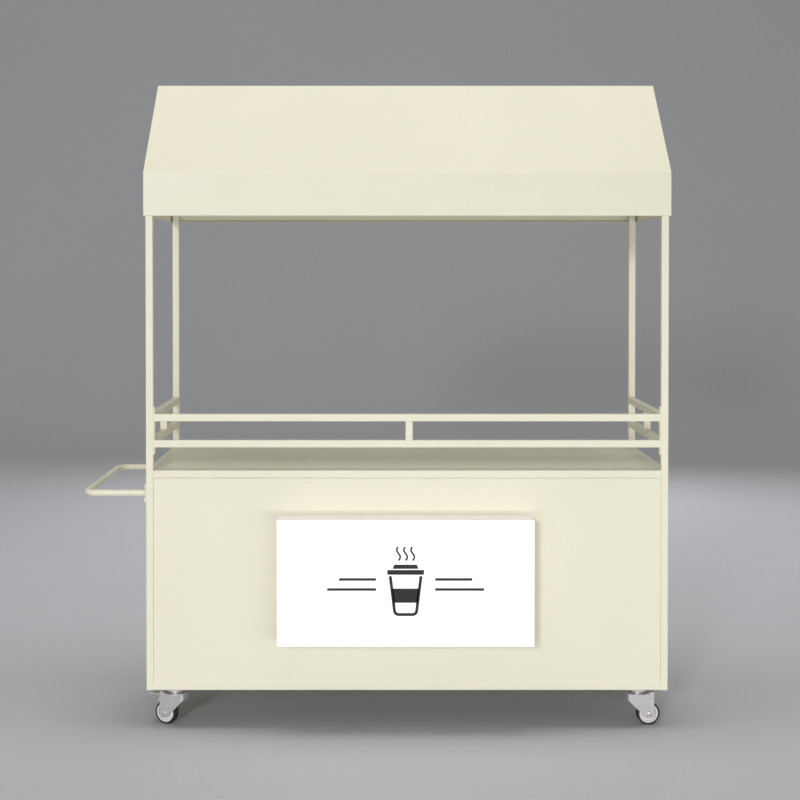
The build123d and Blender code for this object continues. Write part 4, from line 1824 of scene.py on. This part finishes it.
@dataclass
class CasterSet:
    """The four casters, from their top plates to their tyres."""

    shop: Workshop
    layout: Layout
    wheel_radius: float = 0.040
    tread: float = 0.007
    width: float = 0.030
    hub: float = 0.012
    axle: float = 0.004
    axle_half: float = 0.0205
    plate: Point = (0.096, 0.084, 0.004)
    holes: Flat = (0.072, 0.060)
    corner_plate: float = 0.005

    def build(self) -> None:
        """Make the fixed parts and then each caster."""
        self.shop.polish("caster_plates", Slot.ZINC, ROOT, 0.0006, 2, "caster_top_plates")
        self.bolts()
        for corner in ("front_left", "front_right", "rear_left", "rear_right"):
            self.caster(corner)

    def bolts(self) -> None:
        """Set the heads under the plates and the nuts over them."""
        low, high = node_box("caster_plates")
        size = Vector(self.plate)
        first, last = low + size / 2, high - size / 2
        under, over = [], []
        for x in (first.x, last.x):
            for y in (first.y, last.y):
                for i, j in CORNERS:
                    across, along = i * self.holes[0] / 2, j * self.holes[1] / 2
                    spot = Vector((x + across, y + along, high.z))
                    under.append((spot - Vector((0, 0, size.z)), Vector((0, 0, -1))))
                    over.append((spot + Vector((0, 0, self.corner_plate)), Vector((0, 0, 1))))
        head = hex_head(BOLT_FLATS, BOLT_HEAD, 0.0)
        self.shop.repeat("caster_bolt_heads", head, under, Slot.ZINC, replaced=("caster_bolts",))
        self.shop.repeat("caster_nuts", hex_head(BOLT_FLATS, NUT_HEIGHT, WASHER), over, Slot.ZINC)

    def caster(self, corner: str) -> None:
        """Make one caster's fork, axle, wheel and brake.

        Args:
            corner: such as "front_left".
        """
        body, wheel = f"{corner}_caster", f"{corner}_wheel"
        self.shop.polish(f"caster_{corner}_fork", Slot.ZINC, body, 0.0007, 2, f"{corner}_fork")
        place = self.wheel_place(corner)
        self.wheel(corner, place, wheel)
        self.axle_heads(corner, place, body)
        if corner.endswith("left"):
            pedal = f"caster_{corner}_brake_pedal"
            self.shop.polish(pedal, Slot.ZINC, f"{corner}_brake", 0.0009, 2, f"{corner}_pedal")

    @staticmethod
    def wheel_place(corner: str) -> Matrix:
        """The wheel's frame, with its local Z along the axle.

        Args:
            corner: such as "front_left".

        Returns:
            The frame as a matrix.
        """
        joint = next(j for j in frame["joints"] if j["name"] == f"{corner}_wheel_spin")
        turn = Vector(joint["axis"]).to_track_quat("Z", "Y")
        return Matrix.Translation(joint["pos_m"]) @ turn.to_matrix().to_4x4()

    def wheel(self, corner: str, place: Matrix, body: str) -> None:
        """Make the wheel centre and the tyre.

        Args:
            corner: such as "front_left".
            place: the wheel's frame.
            body: the wheel's body.
        """
        rim = self.wheel_radius - self.tread
        half = self.width / 2
        edge = half - 0.001
        core = [
            (self.axle + 0.0001, -half),
            (self.hub - 0.001, -half),
            (self.hub, -half + 0.001),
            (self.hub + 0.0012, -0.0055),
            (self.hub + 0.003, -0.0045),
            (rim - 0.008, -0.0045),
            (rim - 0.006, -0.0055),
            (rim - 0.005, -edge + 0.001),
            (rim - 0.0042, -edge),
            (rim - 0.0006, -edge),
            (rim, -edge + 0.0006),
        ]
        shape = Shape()
        both = [*core, *[(r, -z) for r, z in reversed(core)]]
        shape.lathe(both, place, 64)
        made = shape.finish(f"{corner}_wheel_centre")
        self.shop.keep(made, Slot.WHEEL, body, (f"caster_{corner}_wheel",))
        tyre = Shape()
        crown, groove, shoulder = self.wheel_radius, self.wheel_radius - 0.0007, 0.003
        outline = [(rim, -edge)]
        outline += arc((crown - shoulder, -edge + shoulder), shoulder, -90, -12, 5)
        outline += [(crown, -0.0075), (groove, -0.0068), (groove, -0.0058), (crown, -0.0051), (crown, 0.0)]
        both = [*outline, *[(r, -z) for r, z in reversed(outline[:-1])]]
        tyre.lathe(both, place, 72)
        made = tyre.finish(f"{corner}_tyre", 40.0)
        self.shop.keep(made, Slot.TREAD, body, (f"caster_{corner}_tread",))

    def axle_heads(self, corner: str, place: Matrix, body: str) -> None:
        """Make the axle with a domed head and a nut.

        Args:
            corner: such as "front_left".
            place: the wheel's frame.
            body: the fork's body.
        """
        half = self.axle_half
        shape = Shape()
        dome = [(0.0, -half - 0.004), (0.005, -half - 0.0038), (0.0078, -half - 0.0026), (0.009, -half)]
        nut = [(0.009, half), (0.0078, half + 0.0026), (0.005, half + 0.0038), (0.0, half + 0.004)]
        profile = [*dome, (self.axle, -half), (self.axle, half), *nut]
        profile = [(max(r, 0.0001), z) for r, z in profile]
        shape.lathe([*profile, (0.0001, 0.0)], place, 32)
        made = shape.finish(f"{corner}_axle", 30.0)
        self.shop.keep(made, Slot.ZINC, body, (f"caster_{corner}_axle",))


# ---------------------------------------------------------------- studio


@dataclass
class Studio:
    """Pale floor, soft lights and the camera."""

    layout: Layout
    lens: float = 67.5
    pitch: float = 0.0162
    shift: Flat = (0.02525, -0.134)
    eye: Point = (-0.0942, -5.5058, 1.5925)
    reach: float = 16.0
    wall_start: float = 7.0
    wall_bend: float = 4.0
    wall_top: float = 14.0

    def build(self) -> None:
        """Make the floor, the lights and the camera."""
        self.lights(self.floor())
        self.camera()
        view = bpy.context.scene.view_settings
        view.view_transform = "Standard"

    def floor(self) -> bpy.types.Object:
        """Make one pale sheet that turns up behind the cart.

        Returns:
            The sheet.
        """
        shape = Shape()
        turns = arc((self.wall_start, self.wall_bend), self.wall_bend, -90.0, 0.0, 9)
        profile = [(-self.reach, 0.0), *turns, (turns[-1][0], self.wall_top)]
        rings = [shape.loop(self.layout.at(x, y, z) for y, z in profile) for x in (-self.reach, self.reach)]
        shape.skin(rings, closed=False)
        cove = shape.finish("studio_cove", 60.0)
        if cove.data.polygons[0].normal.z < 0:
            cove.data.flip_normals()
        g = ShaderGraph("studio_paper")
        tone = g.blend(g.noise(0.6, 2.0, 0.5), (0.57, 0.58, 0.615, 1.0), (0.53, 0.54, 0.575, 1.0))
        g.feed(g.shader, "Base Color", tone)
        g.feed(g.shader, "Roughness", 0.75)
        cove.data.materials.append(g.material)
        return cove

    def lamp(
        self, name: str, spot: Point, aim: Point, size: Flat, power: float, gloss: bool = True
    ) -> bpy.types.Object:
        """Add one soft rectangular light.

        Args:
            name: its name.
            spot: where it stands, from the cart's centre.
            aim: where it points.
            size: its width and height.
            power: its watts.
            gloss: whether it shows as a highlight.

        Returns:
            The light.
        """
        data = bpy.data.lights.new(name, "AREA")
        data.shape = "RECTANGLE"
        data.size, data.size_y = size
        data.energy = power
        made = bpy.data.objects.new(name, data)
        made.location = self.layout.at(*spot)
        way = self.layout.at(*aim) - made.location
        made.rotation_mode = "QUATERNION"
        made.rotation_quaternion = way.to_track_quat("-Z", "Y")
        made.visible_glossy = gloss
        bpy.context.scene.collection.objects.link(made)
        return made

    def lights(self, cove: bpy.types.Object) -> None:
        """Set a key, four fills and an even sky.

        Args:
            cove: the floor, which the two low fills leave alone.
        """
        self.lamp("key", (-3.4, -13.2, 4.2), (0.0, 0.0, 0.9), (1.6, 1.6), 530.0)
        front = self.lamp("front", (2.4, -8.5, 0.9), (0.2, 0.0, 0.4), (9.0, 1.8), 84.0)
        low = self.lamp("low", (0.6, -3.7, 0.3), (0.1, 0.0, 0.35), (8.0, 0.4), 54.0, gloss=False)
        self.lamp("top", (0.0, -0.7, 7.0), (0.0, 0.0, 0.9), (4.5, 2.5), 150.0, gloss=False)
        self.lamp("rear", (0.6, 5.6, 3.0), (0.0, 0.0, 0.8), (4.0, 2.4), 100.0, gloss=False)
        spared = bpy.data.collections.new("spared_floor")
        spared.objects.link(cove)
        spared.collection_objects[0].light_linking.link_state = "EXCLUDE"
        for lamp in (front, low):
            lamp.light_linking.receiver_collection = spared
        world = bpy.data.worlds.new("studio_air")
        world.use_nodes = True
        sky = world.node_tree.nodes["Background"]
        sky.inputs["Color"].default_value = (1.0, 0.98, 0.92, 1.0)
        sky.inputs["Strength"].default_value = 0.35
        bpy.context.scene.world = world

    def camera(self) -> None:
        """Set the camera level with the counter's guard, a little left of the middle."""
        data = bpy.data.cameras.new("view")
        data.lens = self.lens
        data.sensor_width = 36.0
        data.shift_x, data.shift_y = self.shift
        data.clip_end = 200.0
        made = bpy.data.objects.new("view", data)
        made.location = self.layout.at(*self.eye)
        made.rotation_euler = (math.pi / 2 - self.pitch, 0.0, 0.0)
        bpy.context.scene.collection.objects.link(made)
        bpy.context.scene.camera = made


def dress_kept_nodes(shop: Workshop) -> None:
    """Give every CAD node its own finish, also those that a piece stands for.

    Args:
        shop: the finishes.
    """
    slots = {slot.value: slot for slot in Slot}
    for part in frame["record"]["subparts"]:
        shop.palette.dress_cad(part["node"], slots[part["material_slot"]])


def main() -> None:
    """Build the cart's looks in order, from the frame outwards."""
    logging.basicConfig(level=logging.INFO, format="%(name)s %(message)s")
    shop = Workshop()
    layout = Layout()
    dress_kept_nodes(shop)
    TubeFrame(shop, layout).build()
    GableRoof(shop, layout).build()
    Cabinet(shop, layout).build()
    SignBox(shop, layout).build()
    PushHandle(shop, layout).build()
    for side in ("left", "right"):
        Door(shop, layout, side).build()
    shop.polish("hinge_frame_leaves", Slot.ZINC, ROOT, 0.0004, 2, "post_leaves")
    CasterSet(shop, layout).build()
    Studio(layout).build()


if __name__ == "__main__":
    main()
